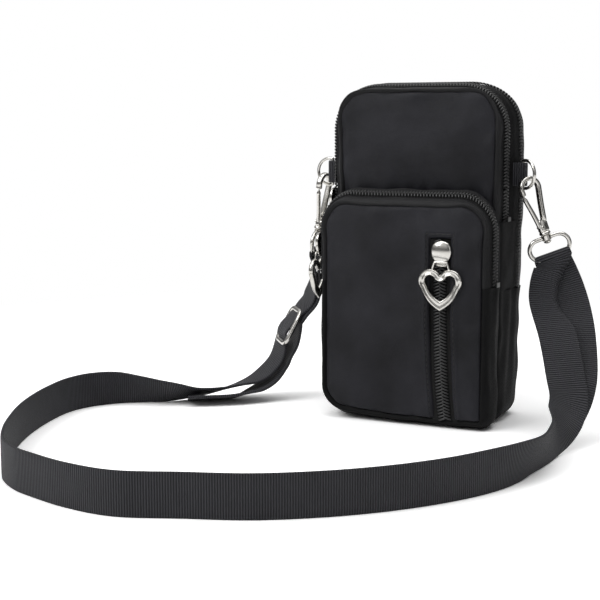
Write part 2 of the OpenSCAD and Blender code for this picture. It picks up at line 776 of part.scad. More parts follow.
module hook() {
    left = -nose_r - overrun;
    color(nickel) {
        translate([0, 0, base_z - 2 * (boss_half + seat_gap) - head_h])
            cylinder(r = head_r, h = head_h, $fn = 32);
        translate([0, 0, base_z - 2 * (boss_half + seat_gap)])
            cylinder(r = shank_r, h = 2 * (boss_half + seat_gap) + collar_h, $fn = 32);
        translate([0, 0, base_z]) cylinder(r = collar_r, h = collar_h, $fn = 32);
        difference() {
            flat_shape(hook_t) difference() {
                polygon(pear(nose_r, fork_half, cheek_z));
                polygon(pear(eye_r, eye_half, eye_low));
                polygon([[left, fork_top], [0, fork_top], [0, hook_len],
                    [2 * eye_r * cos(nose_turn), nose_foot], [left, nose_foot]]);
            }
            translate([left, -cheek_gap, cheek_z + slot_floor])
                cube([eye_half + spring_room - left, 2 * cheek_gap, eye_low - cheek_z]);
            across(gate_pin_r, -gate_pin_in, gate_pin_z);
        }
    }
}

module gate() {
    tip = nose_foot - soft_gap;
    foot = gate_pin_z - gate_pin_r;
    edge = eye_half - gate_play;
    bar = [[gate_play - fork_half, foot], [gate_pin_r - gate_pin_in, foot - gate_pin_r], [edge, gate_pin_z],
        [-eye_half, eye_low], [-eye_r, tip], [2 * gate_play - nose_r, tip],
        [-fork_half - gate_pin_r, fork_top]];
    color(nickel) difference() {
        flat_shape(2 * (cheek_gap - gate_play)) polygon(bar);
        across(gate_pin_r + pin_gap, -gate_pin_in, gate_pin_z);
    }
}

module gate_pin() {
    color(nickel) translate([-gate_pin_in, hook_t / 2, gate_pin_z]) rotate([90, 0, 0])
        cylinder(r = gate_pin_r, h = hook_t, $fn = 32);
}

// A leaf of spring steel stands against the inner wall of the fork
spring_t = 0.3;
module gate_spring() {
    low = cheek_z + slot_floor;
    color(nickel) translate([eye_half + spring_room - spring_t, -cheek_gap / 2, low])
        cube([spring_t, cheek_gap, fork_top - low]);
}

module swivel_ring() {
    r = swivel_h / 2 - swivel_wire_r;
    straight = swivel_w / 2 - swivel_h / 2;
    color(nickel) difference() {
        union() {
            for (side = [-1, 1]) {
                translate([-straight, 0, side * r]) rotate([0, 90, 0])
                    cylinder(r = swivel_wire_r, h = 2 * straight, $fn = 32);
                translate([side * straight, 0, 0]) rotate([90, 0, 0]) rotate([0, 0, -90 * side])
                    rotate_extrude(angle = 180, $fn = 48)
                        translate([r, 0]) circle(r = swivel_wire_r, $fn = 24);
            }
            translate([0, 0, boss_z - boss_half]) cylinder(r = boss_r, h = 2 * boss_half, $fn = 32);
        }
        translate([0, 0, boss_z - boss_half - overrun])
            cylinder(r = shank_r + pin_gap, h = 2 * boss_half + 2 * overrun, $fn = 32);
    }
}

module hook_right() { at_right_clasp() rotate([0, 0, right_swivel]) hook(); }
module hook_left() { at_left_clasp() rotate([0, 0, left_swivel]) hook(); }
module gate_right() { at_right_clasp() rotate([0, 0, right_swivel]) gate(); }
module gate_left() { at_left_clasp() rotate([0, 0, left_swivel]) gate(); }
module gate_pin_right() { at_right_clasp() rotate([0, 0, right_swivel]) gate_pin(); }
module gate_pin_left() { at_left_clasp() rotate([0, 0, left_swivel]) gate_pin(); }
module gate_spring_right() { at_right_clasp() rotate([0, 0, right_swivel]) gate_spring(); }
module gate_spring_left() { at_left_clasp() rotate([0, 0, left_swivel]) gate_spring(); }
module swivel_ring_right() { at_right_clasp() swivel_ring(); }
module swivel_ring_left() { at_left_clasp() swivel_ring(); }

// Where the lower bar of each swivel ring ends up, and the way the ring faces
ring_drop = hook_len + nose_play + boss_z;
left_up = [sin(left_tilt), 0, cos(left_tilt)];
right_up = [sin(right_tilt) * cos(right_face), sin(right_tilt) * sin(right_face), cos(right_tilt)];
left_bar = grip_point(-1, left_ring_turn) - ring_drop * left_up;
right_bar = grip_point(1, right_ring_turn) - ring_drop * right_up;
// The routes are drawn for bars at these places.
// Their raised parts move with the bars, in share of their height over the floor.
drawn_left_bar = [-65.98, 9.07, 89.12];
drawn_right_bar = [72.51, 10.22, 91.24];
rest_z = 10;
function moved(p) =
    let (drawn = p[0] < 0 ? drawn_left_bar : drawn_right_bar)
    let (bar = p[0] < 0 ? left_bar : right_bar)
    let (share = max(0, p[2] - rest_z) / (drawn[2] - rest_z))
    first3(p) + (bar - drawn) * share;

// Route of the long webbing from the left swivel ring, down to the floor, round the loop
// and up to the right swivel ring: the middle of the webbing, then the way its width points.
strap_route = [
    [-68.05, 8.85, 89.37, -0.104, 0.995, 0.013], [-68.42, 8.85, 86.4, -0.104, 0.995, 0.013],
    [-69.3, 8.8, 76, 0, 1, 0], [-73, 8, 62, 0, 1, 0],
    [-80, 7.5, 49, 0, 1, 0], [-87.5, 7, 36, 0, 1, 0], [-95, 6.5, 24, 0, 1, 0],
    [-103, 4, 15, -0.1, 1, 0.15], [-112, -1, 9.5, -0.2, 0.9, 0.4], [-122, -9, 8, -0.3, 0.8, 0.55],
    [-133, -18, 8, -0.35, 0.6, 0.7], [-145, -28, 9, -0.3, 0.4, 0.9], [-157, -37, 10, -0.1, 0.15, 1],
    [-168, -46, 10, 0, 0, 1], [-175, -60, 10, 0, 0, 1], [-176, -80, 10, 0, 0, 1],
    [-172, -104, 10, 0, 0, 1], [-164, -130, 10, 0, 0, 1], [-153, -158, 10, 0, 0, 1],
    [-140, -184, 10, 0, 0, 1], [-124, -205, 10, 0, 0, 1], [-104, -220, 10, 0, 0, 1],
    [-80, -229, 10, 0, 0, 1], [-55, -231, 10, 0, 0, 1], [-28, -222, 10, 0, 0, 1],
    [0, -212, 10, 0, 0, 1], [26, -196, 10, 0, 0, 1], [48, -177, 10, 0, 0, 1],
    [66, -156, 10, 0, 0, 1], [79, -135, 10, 0, 0, 1], [87.3, -116, 10, 0.15, 0, 1],
    [91.6, -98, 10, 0.3, 0, 1], [92.6, -79, 10, 0.12, 0, 1], [92.2, -63, 10.3, -0.1, 0, 1],
    [92.5, -50, 13, -0.5, -0.1, 0.8], [92.6, -39.5, 17.5, -0.8, -0.3, 0.38],
    [92, -32, 24.5, -0.88, -0.38, 0.12], [88.6, -26, 34, -0.92, -0.38, 0],
    [84.4, -19, 46, -0.93, -0.37, -0.04], [79.3, -10.5, 58, -0.92, -0.37, -0.12],
    [75.4, -2.5, 69, -0.9, -0.37, -0.2], [74.56, 2.81, 77.4, -0.88, -0.38, -0.28],
    [75.61, 6.78, 84.94, -0.8585, -0.3822, -0.342], [74.32, 8.18, 88.97, -0.8585, -0.3822, -0.342],
    [73.45, 8.12, 91.23, -0.8585, -0.3822, -0.342]
];
// The sewn end lies behind the webbing at the right ring and fans out beside it
flap_route = [
    [71.66, 12.14, 91.24, -0.8585, -0.3822, -0.342], [72.6, 12.56, 88.42, -0.8585, -0.3822, -0.342],
    [76, 12.3, 82, -0.87, -0.38, -0.3], [80, 10, 74.5, -0.89, -0.38, -0.22],
    [84.5, 5, 65, -0.91, -0.38, -0.14], [88.6, -2.5, 55, -0.93, -0.37, -0.08],
    [91.6, -10.5, 45, -0.93, -0.37, 0], [93.8, -18.5, 36, -0.93, -0.37, 0.05],
    [94.5, -25, 29, -0.9, -0.37, 0.12]
];
// The free tail comes back from the left ring, through the adjuster and along the floor
tail_route = [
    [-63.91, 9.29, 88.87, -0.104, 0.995, 0.013], [-64.27, 9.29, 85.89, -0.104, 0.995, 0.013],
    [-66.1, 8.8, 75, 0, 1, 0], [-70, 8, 62, 0, 1, 0],
    [-75.6, 7, 52.8, 0, 1, 0], [-77.4, 7, 49.3, 0, 1, 0], [-77.4, 7, 41.1, 0, 1, 0],
    [-84.4, 7, 37.1, 0, 1, 0], [-86.6, 7, 33.8, 0, 1, 0], [-91, 6.5, 22, 0, 1, 0],
    [-95, 4, 11, 0, 1, 0.05], [-103, -2, 4.5, -0.15, 1, 0.1],
    [-113, -10, 2.6, -0.25, 0.95, 0.15], [-124, -19, 3, -0.3, 0.9, 0.25],
    [-136, -28, 4.5, -0.35, 0.8, 0.4], [-148, -36, 6.5, -0.35, 0.6, 0.6]
];

function smooth(p0, p1, p2, p3, t) = (p1 * 2 + (p2 - p0) * t + (p0 * 2 - p1 * 5 + p2 * 4 - p3) * t * t
    + (p1 * 3 - p0 - p2 * 3 + p3) * t * t * t) / 2;
function fine_route(route, steps) =
    let (n = len(route))
    concat([for (i = [0:n - 2]) for (k = [0:steps - 1])
        smooth(route[max(i - 1, 0)], route[i], route[i + 1], route[min(i + 2, n - 1)], k / steps)],
    [route[n - 1]]);
function first3(p) = [p[0], p[1], p[2]];
function last3(p) = [p[3], p[4], p[5]];
function unit(v) = v / norm(v);

// Half the section of the webbing as shares of its half width and half thickness
edge_shares = [[1, 0.5], [0.96, 1], [-0.96, 1], [-1, 0.5], [-1, -0.5], [-0.96, -1], [0.96, -1], [1, -0.5]];
module ribbon(route, steps) {
    path = fine_route([for (p = route) concat(moved(p), last3(p))], steps);
    n = len(path);
    m = len(edge_shares);
    points = [for (i = [0:n - 1])
        let (along = unit(first3(path[min(i + 1, n - 1)]) - first3(path[max(i - 1, 0)])))
        let (raw = last3(path[i]))
        let (across = unit(raw - along * (raw * along)))
        let (out = cross(along, across))
        each [for (e = edge_shares)
            first3(path[i]) + across * e[0] * strap_w / 2 + out * e[1] * strap_t / 2]];
    sides = [for (i = [0:n - 2]) for (j = [0:m - 1])
        let (k = (j + 1) % m)
        each [[i * m + j, (i + 1) * m + j, (i + 1) * m + k], [i * m + j, (i + 1) * m + k, i * m + k]]];
    caps = concat([for (j = [1:m - 2]) [0, j, j + 1]],
        [for (j = [1:m - 2]) [(n - 1) * m, (n - 1) * m + j + 1, (n - 1) * m + j]]);
    polyhedron(points, concat(sides, caps));
}

module strap_webbing() {
    color(webbing) ribbon(strap_route, 2);
}
module strap_end_flap() {
    color(webbing) ribbon(flap_route, 3);
}
module strap_tail() {
    color(webbing) ribbon(tail_route, 3);
}

// The adjuster lies on the strap, and the tail climbs over its middle bar and under its ends
adjuster_place = [-79.2, 7, 42.2];
adjuster_tilt = 30;
adjuster_corner = 3;
module at_adjuster() {
    translate(moved(adjuster_place)) rotate([0, adjuster_tilt, 0]) children();
}
// A rectangle with rounded corners from its half sizes
function rounded(a, b, r) = [for (quarter = [0:3]) for (i = [0:corner_steps])
    let (t = 90 * (quarter + i / corner_steps))
    let (side_a = quarter == 0 || quarter == 3 ? 1 : -1)
    let (side_b = quarter < 2 ? 1 : -1)
    [side_a * (a - r) + r * cos(t), side_b * (b - r) + r * sin(t)]];
module adjuster_frame() {
    half_w = adjuster_w / 2;
    half_l = adjuster_len / 2;
    color(nickel) at_adjuster() rotate([0, -90, 0]) rotate([0, 0, 90])
        translate([0, 0, -adjuster_t / 2]) linear_extrude(adjuster_t) difference() {
            polygon(rounded(half_w, half_l, adjuster_corner));
            polygon(rounded(half_w - adjuster_bar, half_l - adjuster_bar, adjuster_corner / 2));
        }
}
module adjuster_pin() {
    half = adjuster_w / 2 - adjuster_bar;
    color(nickel) at_adjuster() translate([0, half, 0]) rotate([90, 0, 0])
        cylinder(r = adjuster_t / 2, h = 2 * half, $fn = 32);
}

main_front_panel();
main_flap_panel();
main_flap_band();
zip_band_ends();
main_middle_band();
side_gussets();
lower_gusset();
back_panel();
rear_flap_panel();
rear_flap_band();
compartment_divider();
pocket_face();
pocket_front_band();
pocket_back_band();
pocket_gusset();
slip_lining();
main_flap_tape();
zip_tape_ends();
main_body_tape();
main_flap_coil();
zip_coil_ends();
main_body_coil();
rear_flap_tape();
rear_body_tape();
rear_flap_coil();
rear_body_coil();
pocket_zip_tapes();
pocket_zip_coils();
slot_zip_tapes();
slot_zip_coils();
zip_stops();
slot_slider();
slot_heart();
pocket_slider();
pocket_heart();
main_slider();
main_heart();
rear_slider();
rear_heart();
ring_tab_right();
ring_tab_left();
d_ring_right();
d_ring_left();
hook_right();
hook_left();
gate_right();
gate_left();
gate_pin_right();
gate_pin_left();
gate_spring_right();
gate_spring_left();
swivel_ring_right();
swivel_ring_left();
strap_webbing();
strap_end_flap();
strap_tail();
adjuster_frame();
adjuster_pin();
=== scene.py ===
# %% [markdown]
# # A padded phone pouch on a webbing strap
#
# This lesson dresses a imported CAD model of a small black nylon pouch. The CAD gives every piece its place
# and size. Here each soft piece is made again as sewn, padded cloth, and each metal piece as polished
# nickel. All numbers below are millimetres in the frame of the CAD: X to the right, -Y to the front, Z up.

# %% Load the frame
import math
import bpy
import numpy as np
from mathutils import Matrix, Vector


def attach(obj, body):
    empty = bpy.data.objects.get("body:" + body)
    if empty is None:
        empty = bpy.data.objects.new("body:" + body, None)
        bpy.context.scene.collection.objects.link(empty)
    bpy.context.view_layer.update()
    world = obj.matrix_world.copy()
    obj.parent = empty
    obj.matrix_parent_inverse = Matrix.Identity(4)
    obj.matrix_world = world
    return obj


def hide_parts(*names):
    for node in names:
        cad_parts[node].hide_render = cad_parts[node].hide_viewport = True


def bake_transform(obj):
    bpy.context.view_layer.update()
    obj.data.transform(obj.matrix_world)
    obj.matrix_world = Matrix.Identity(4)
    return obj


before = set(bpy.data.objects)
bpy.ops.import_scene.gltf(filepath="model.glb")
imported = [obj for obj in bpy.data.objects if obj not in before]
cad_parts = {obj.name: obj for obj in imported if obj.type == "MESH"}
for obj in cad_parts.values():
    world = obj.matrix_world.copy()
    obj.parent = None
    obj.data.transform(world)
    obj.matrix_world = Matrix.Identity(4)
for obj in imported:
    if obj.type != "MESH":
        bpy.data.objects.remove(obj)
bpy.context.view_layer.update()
scene = bpy.context.scene
MM = 0.001

# %% [markdown]
# ## The camera
#
# The lens and the place of the camera were solved from the seams of the pouch in the photograph.

# %% Camera
CAMERA_PLACE = (219.6, -659.0, 161.4)
CAMERA_TURN = 23.92
CAMERA_DIP = 7.95
LENS = 74.77
SENSOR = 36

lens_data = bpy.data.cameras.new("camera")
lens_data.lens = LENS
lens_data.sensor_width = SENSOR
camera = bpy.data.objects.new("camera", lens_data)
camera.location = [c * MM for c in CAMERA_PLACE]
camera.rotation_euler = (math.radians(90 - CAMERA_DIP), 0, math.radians(CAMERA_TURN))
scene.collection.objects.link(camera)
scene.camera = camera
print("camera at", CAMERA_PLACE, "with a lens of", LENS)

# %% [markdown]
# ## The sizes
#
# These repeat the driving sizes of the CAD source.

# %% Sizes
HALF_W = 50.0
BODY_H = 185.0
TOP_R = 26.0
LOW_R = 12.0
SEAM_IN = 5.5
POCKET_Y = -29.25
MAIN_Y = -9.25
BACK_Y = 29.25
POCKET_H = 125.0
POCKET_R = 20.0
BAND_W = 5.4
REAR_BAND_W = 10.8
GAP = 7.4
PITCH = 1.75
FOLD_Z = 128.0
MAIN_END = 110.4
REAR_END = 73.0
REAR_FOLD = 90.6
POCKET_END = 77.0
MAIN_COIL = MAIN_Y + BAND_W + GAP / 2
REAR_COIL = BACK_Y - REAR_BAND_W - GAP / 2
POCKET_COIL = POCKET_Y + BAND_W + GAP / 2
print("the zips run at these depths:", POCKET_COIL, MAIN_COIL, REAR_COIL)

# %% [markdown]
# ## Shader graphs as arithmetic
#
# A `Wire` wraps one output socket, so that `a * 0.5 + b` builds the Math nodes by itself.

# %% Graph helpers
FULL_TURN = 2 * math.pi


class Wire:
    """One output socket of a shader node. Arithmetic on it adds Math nodes."""

    def __init__(self, graph, socket):
        self.graph = graph
        self.socket = socket

    def _math(self, operation, a, b=0.0):
        return self.graph.node("ShaderNodeMath", {"operation": operation}, {0: a, 1: b})

    def __add__(self, other):
        return self._math("ADD", self, other)

    def __sub__(self, other):
        return self._math("SUBTRACT", self, other)

    def __rsub__(self, other):
        return self._math("SUBTRACT", other, self)

    def __mul__(self, other):
        return self._math("MULTIPLY", self, other)

    __radd__ = __add__
    __rmul__ = __mul__

    def power(self, other):
        return self._math("POWER", self, other)

    def sine(self):
        return self._math("SINE", self)


class Graph:
    """The node tree of one material or of the world."""

    def __init__(self, owner):
        owner.use_nodes = True
        self.owner = owner
        self.tree = owner.node_tree
        self.tree.nodes.clear()

    def node(self, kind, settings=None, inputs=None, out=0):
        made = self.tree.nodes.new(kind)
        for key, value in (settings or {}).items():
            setattr(made, key, value)
        for key, value in (inputs or {}).items():
            if isinstance(value, Wire):
                self.tree.links.new(value.socket, made.inputs[key])
            else:
                made.inputs[key].default_value = value
        return Wire(self, made.outputs[out]) if len(made.outputs) else made

    def mix(self, factor, a, b):
        return self.node("ShaderNodeMix", {"data_type": "RGBA"}, {"Factor": factor, 6: a, 7: b}, out=2)

    def mix_shaders(self, factor, a, b):
        return self.node("ShaderNodeMixShader", {}, {0: factor, 1: a, 2: b})

    def place(self, kind="Object"):
        return self.node("ShaderNodeTexCoord", out=kind)

    def part(self, vector, axis):
        return self.node("ShaderNodeSeparateXYZ", {}, {0: vector}, out=axis)

    def noise(self, scale, detail=2.0):
        inputs = {"Vector": self.place(), "Scale": scale, "Detail": detail, "Roughness": 0.5}
        return self.node("ShaderNodeTexNoise", {}, inputs)

    def cloth_uv(self):
        uv = self.node("ShaderNodeUVMap", {"uv_map": "cloth"})
        return self.part(uv, 0), self.part(uv, 1)

    def bump(self, height, depth_mm, under=None):
        inputs = {"Height": height, "Distance": depth_mm * MM, "Strength": 1.0}
        if under is not None:
            inputs["Normal"] = under
        return self.node("ShaderNodeBump", {}, inputs)

    def ramp(self, value, low, high, from_value, to_value):
        inputs = {"Value": value, "From Min": low, "From Max": high}
        inputs.update({"To Min": from_value, "To Max": to_value})
        return self.node("ShaderNodeMapRange", {"interpolation_type": "SMOOTHSTEP"}, inputs)

    def finish(self, shader, kind="ShaderNodeOutputMaterial"):
        self.node(kind, {}, {"Surface": shader})
        return self.owner

    def surface(self, colour, rough, normal, others):
        inputs = {"Base Color": colour, "Roughness": rough, "Normal": normal, **others}
        return self.finish(self.node("ShaderNodeBsdfPrincipled", {}, inputs))


def material_graph(name):
    return Graph(bpy.data.materials.new(name))


def grey(value, blue=1.0):
    return (value, value, value * blue, 1.0)


print("shader helpers:", Wire.__name__, Graph.__name__)

# %% [markdown]
# ## Cloth, webbing, coil and nickel
#
# Real nylon is a fine plain weave with a slightly uneven tone. Its cloudy colour is partly that tone and
# partly painted sheen and shade of soft crumples. A picture could show that, but noise and sine waves stay
# sharp at any size. The weave runs along the UV map `cloth`, which every soft piece carries in millimetres,
# so the threads follow the piece and not the room.

# %% Cloth materials
def cloth_light(gloss, sheen, sheen_rough, tint):
    return {"Specular IOR Level": gloss, "Sheen Weight": sheen, "Sheen Roughness": sheen_rough,
        "Sheen Tint": tint}


def nylon(name, tone, blue, weave=0.42, sheen=0.02, rough=0.5, mottle_and_crumple_sheen=0.25, gloss=0.2):
    g = material_graph(name)
    u, v = g.cloth_uv()
    threads = (u * (FULL_TURN / weave)).sine() * (v * (FULL_TURN / weave)).sine()
    broad = g.noise(38.0, 3.0)
    fine = g.noise(900.0)
    # The cloudy tone is partly the cloth's own and partly painted sheen and shade of soft crumples.
    tone_and_crumple_sheen = (g.noise(30.0, 5.0) - 0.5) * 2.8 + 0.5
    shade = tone_and_crumple_sheen * 0.7 + broad * 0.3 + fine * 0.2 - 0.1
    colour = g.mix(shade, grey(tone * (1 - mottle_and_crumple_sheen), blue), grey(tone * (1 + mottle_and_crumple_sheen), blue))
    normal = g.bump(threads + fine * 0.8, 0.03, under=g.bump(g.noise(130.0), 0.35))
    light = cloth_light(gloss, sheen, 0.45, grey(0.85, 1.06))
    return g.surface(colour, rough - 0.05 + broad * 0.12, normal, light)


def ribbed_webbing(name, tone, rib=1.15):
    """Ribs across the strap. Their colour is painted light on the ribs and dark between them: painted
    highlight and shade.
    """
    g = material_graph(name)
    u, v = g.cloth_uv()
    ribs = ((u * (FULL_TURN / rib)).sine() * 0.5 + 0.5).power(0.7)
    threads = (v * (FULL_TURN / 0.55)).sine() * (u * (math.pi / rib)).sine()
    broad = g.noise(60.0, 3.0)
    fine = g.noise(1400.0)
    # Painted shade in the grooves and painted highlight on the ribs, mixed with a random tone.
    shade = ribs * 0.85 + fine * 0.15 + broad * 0.3 - 0.15
    colour = g.mix(shade, grey(tone * 0.12, 1.1), grey(tone * 1.75, 1.16))
    normal = g.bump(ribs + threads * 0.25 + fine * 0.25, 0.5)
    return g.surface(colour, 0.62 - ribs * 0.12, normal, cloth_light(0.22, 0.05, 0.5, grey(0.9, 1.02)))


# The panel's wide mottle is partly painted sheen and shade of soft crumples.
PANEL = nylon("panel nylon", 0.0135, 1.25, sheen=0.03, mottle_and_crumple_sheen=0.6)
BAND = nylon("band nylon", 0.0105, 1.08, sheen=0.025)
# A darker, less glossy copy of the same nylon for the gussets and the middle band: painted shade.
SHADED_NYLON = nylon("nylon in painted shade", 0.0058, 1.06, sheen=0.003, rough=0.6, gloss=0.11)
LINING = nylon("lining cloth", 0.01, 1.0, weave=0.3)
TAPE = nylon("zip tape", 0.006, 1.0, weave=0.6, rough=0.6)
WEBBING = ribbed_webbing("ribbed webbing", 0.0315)
print("cloth materials:", [m.name for m in (PANEL, BAND, SHADED_NYLON, LINING, TAPE, WEBBING)])

# %% [markdown]
# The coil is bare plastic, the thread is dull, and the metal is plated. Nickel is a little warm and uneven.

# %% Coil, thread and nickel
def fine_grained(name, scale, dark, light, rough, spread, depth, others):
    """A plain finish with a fine grain in its colour, its roughness and its height."""
    g = material_graph(name)
    fine = g.noise(scale)
    return g.surface(g.mix(fine, dark, light), rough + fine * spread, g.bump(fine, depth), others)


def plated_nickel(name):
    g = material_graph(name)
    stain = g.noise(220.0, 3.0)
    fine = g.noise(1800.0)
    colour = g.mix(stain, (0.62, 0.60, 0.56, 1), (0.80, 0.785, 0.75, 1))
    return g.surface(colour, 0.13 + stain * 0.12, g.bump(stain + fine * 0.15, 0.02), {"Metallic": 1.0})


COIL_LIGHT = {"Specular IOR Level": 0.65}
COIL = fine_grained("zip coil", 700.0, grey(0.009), grey(0.025, 1.03), 0.32, 0.15, 0.02, COIL_LIGHT)
NICKEL = plated_nickel("bright nickel")
THREAD = fine_grained("sewing thread", 1500.0, grey(0.0072), grey(0.0168), 0.6, 0.1, 0.03, {})
print("other materials:", [m.name for m in (COIL, NICKEL, THREAD)])

# %% [markdown]
# ## Making meshes
#
# A sewn piece is easiest to shape as rows of points. Every piece goes through `make`, which turns millimetre
# points into an object that rides on its CAD body and takes the place of the CAD's own solid.

# %% Mesh helpers
def grid(rows, cols, wrap=False, start=0):
    r = np.arange(rows - 1)[:, None]
    c = np.arange(cols if wrap else cols - 1)[None, :]
    a = r * cols + c
    b = r * cols + (c + 1) % cols
    return (np.stack([a, b, b + cols, a + cols], axis=-1).reshape(-1, 4) + start).tolist()


def capped_grid(rows, cols):
    """The faces of a row of rings, with a cap on each end."""
    caps = [list(range(cols))[::-1], list(range((rows - 1) * cols, rows * cols))]
    return grid(rows, cols, wrap=True) + caps


def as_points(x, y, z):
    return np.stack(np.broadcast_arrays(x, y, z), axis=-1).reshape(-1, 3)


def make(name, points, faces, skin, body, stands_for=(), slot=None, uv=None, fill=None, blend=None,
        sharp=40):
    mesh = bpy.data.meshes.new(name)
    mesh.from_pydata((np.asarray(points, float) * MM).tolist(), [], faces)
    mesh.update()
    if uv is not None:
        layer = mesh.uv_layers.new(name="cloth")
        corner = np.zeros(len(mesh.loops), dtype=np.int32)
        mesh.loops.foreach_get("vertex_index", corner)
        layer.data.foreach_set("uv", np.asarray(uv, float)[corner].ravel())
    mesh.shade_smooth()
    mesh.set_sharp_from_angle(angle=math.radians(sharp))
    mesh.materials.append(skin)
    made = bpy.data.objects.new(name, mesh)
    scene.collection.objects.link(made)
    settle(made, body, stands_for, blend)
    print(name, "points:", len(points))
    return made


def settle(made, body, stands_for, blend):
    if body is not None:
        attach(made, body)
    if stands_for:
        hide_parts(*stands_for)
    if blend is not None:
        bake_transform(made)


print("a ring of six, capped, has", len(capped_grid(2, 6)), "faces")

# %% [markdown]
# Cloth is never quite flat. A few plane waves in seeded directions add up to slow, uneven swells, and they
# are the same on each run.

# %% Waves and lines
def ripple(points, wave, seed, count=9):
    """Smooth uneven waves of about -1 to 1."""
    rng = np.random.default_rng(seed)
    total = np.zeros(len(points))
    for _ in range(count):
        along = unit(rng.normal(size=3))
        turn = FULL_TURN / (wave * rng.uniform(0.7, 1.6))
        total = total + np.sin(np.asarray(points) @ along * turn + rng.uniform(0, FULL_TURN))
    return total / math.sqrt(count)


def unit(v):
    v = np.asarray(v, float)
    return v / np.maximum(np.linalg.norm(v, axis=-1, keepdims=True), 1e-9)


def round_line(keys, rounds=3):
    """Cuts the corners of an open line, keeping its ends."""
    line = np.asarray(keys, float)
    for _ in range(rounds):
        a = line[:-1] * 0.75 + line[1:] * 0.25
        b = line[:-1] * 0.25 + line[1:] * 0.75
        middle = np.stack([a, b], axis=1).reshape(-1, line.shape[1])
        line = np.concatenate([line[:1], middle[1:-1], line[-1:]])
    return line


def smooth_step(value, low, high):
    t = np.clip((value - low) / (high - low), 0, 1)
    return t * t * (3 - 2 * t)


def hump(value, middle, width):
    return np.exp(-((value - middle) / width) ** 2)


def run_length(line):
    steps = np.linalg.norm(np.diff(line, axis=0), axis=1)
    return np.concatenate([[0.0], np.cumsum(steps)])


def at_lengths(line, values, wanted):
    lengths = run_length(line)
    return np.stack([np.interp(wanted, lengths, column) for column in values.T], axis=1)


print("a rounded corner has", len(round_line([(0, 0), (1, 0), (1, 1)])), "points")

# %% [markdown]
# Bands, tapes and straps are all one thing: a closed section carried along a path. The arch goes up the left
# side, over the top and down the right. The sling is the arch turned upside down, for the base.

# %% Sections and paths
CLOTH_THICK = 1.4


def thick_section(keys):
    """A closed section from the outer line of a band, in (outward level, y)."""
    outer = round_line(keys)
    along = unit(np.gradient(outer, axis=0))
    inner = outer + np.stack([-along[:, 1], along[:, 0]], axis=1) * CLOTH_THICK
    return np.concatenate([outer, inner[::-1]])


def sweep(centre, out, side, section):
    """Rings of a closed section along a path, with a cap on each end."""
    rings, m = len(centre), len(section)
    out, side = np.broadcast_to(out, centre.shape), np.broadcast_to(side, centre.shape)
    points = centre[:, None] + out[:, None] * section[:, :1] + side[:, None] * section[:, 1:]
    u = np.repeat(run_length(centre), m)
    v = np.tile(run_length(section), rings)
    return points.reshape(-1, 3), capped_grid(rings, m), np.stack([u, v], axis=1)


def arch(half, end, high, radius, step=1.5, right=None):
    """Points and outward directions in the XZ plane. Right is the radius of the right corner."""
    right = right or radius
    spans = [high - radius - end, math.pi * radius / 2, 2 * half - radius - right, math.pi * right / 2,
        high - right - end]
    s = np.linspace(0, sum(spans), max(8, int(sum(spans) / step)))

    def along(*values):
        return np.interp(s, np.concatenate([[0], np.cumsum(spans)]), values)

    turn = along(0, 0, 1, 1, 2, 2) * math.pi / 2
    outs = as_points(-np.cos(turn), 0.0, np.sin(turn))
    left_x, right_x = radius - half, half - right
    centre = as_points(along(left_x, left_x, left_x, right_x, right_x, right_x), 0.0,
        along(end, high - radius, high - radius, high - right, high - right, end))
    return centre + outs * along(radius, radius, radius, right, right, right)[:, None], outs


def sling(half, end, radius, right):
    """Right side down, under the base, and up the left."""
    points, outs = arch(half, -end, 0.0, right, right=radius)
    return points * [-1, 1, -1], outs * [-1, 1, -1]


print("the main arch has", len(arch(HALF_W, MAIN_END, BODY_H, TOP_R)[0]), "points")

# %% [markdown]
# ## How the filled pouch is pulled
#
# A filled pouch isn't a box. Its zips tip to the front, its seams are drawn out at the corners, and its rear
# bulges. These moves act on every cloth piece alike, so that neighbours stay together.

# %% Pulls and bulges
SLANTS = {
    "main": ([MAIN_Y, MAIN_Y + 2.5, MAIN_COIL - GAP / 2, MAIN_COIL + GAP / 2, MAIN_COIL + 10.0],
        [0.0, -0.9, -2.1, -0.4, 0.0]),
    "pocket": ([POCKET_Y, POCKET_Y + 2.5, POCKET_COIL - GAP / 2, POCKET_COIL + GAP / 2, MAIN_Y],
        [0.0, -0.7, -1.6, -0.3, 0.0]),
}
POCKET_RISE = ([POCKET_Y, POCKET_COIL - GAP / 2, POCKET_COIL + GAP / 2, MAIN_Y], [0, 0.6, 2.6, 4.0])


def slanted(points, outs, word):
    """Tips a zip towards the front on the right and over the top."""
    if word is None:
        return points
    share = smooth_step(points[:, 0], -HALF_W, -22.0)
    shift = np.interp(points[:, 1], *SLANTS[word]) * share
    moved = points + outs * shift[:, None]
    if word == "pocket":
        high = np.clip((points[:, 2] - (POCKET_H - POCKET_R)) / POCKET_R, 0, 1) ** 2
        moved[:, 2] += np.interp(points[:, 1], *POCKET_RISE) * high
    return moved


# For each front seam: its depth and height, and how far its base drops, its top rises, its corners go out.
SEAMS = {"main": (MAIN_Y, BODY_H, 0.0, 0.7, 2.0), "pocket": (POCKET_Y, POCKET_H, 1.3, -0.4, 1.3)}
PINCH_Z, PINCH_X = [112, 125, 150, 168, 178], [2.3, 2.3, 1.6, 0.7, 0.0]
FULL_Z = [5, 20, 38, 60, 80, 100, 120, 137, 150, 160, 172, 182]
FULL_X = [0.2, 1.2, 2.0, 1.6, 2.4, 2.7, 3.2, 3.7, 2.9, 2.3, 2.8, 3.2]
POCKET_LIFT = 2.6
LOW_REACH, TOP_REACH = 34.0, 30.0


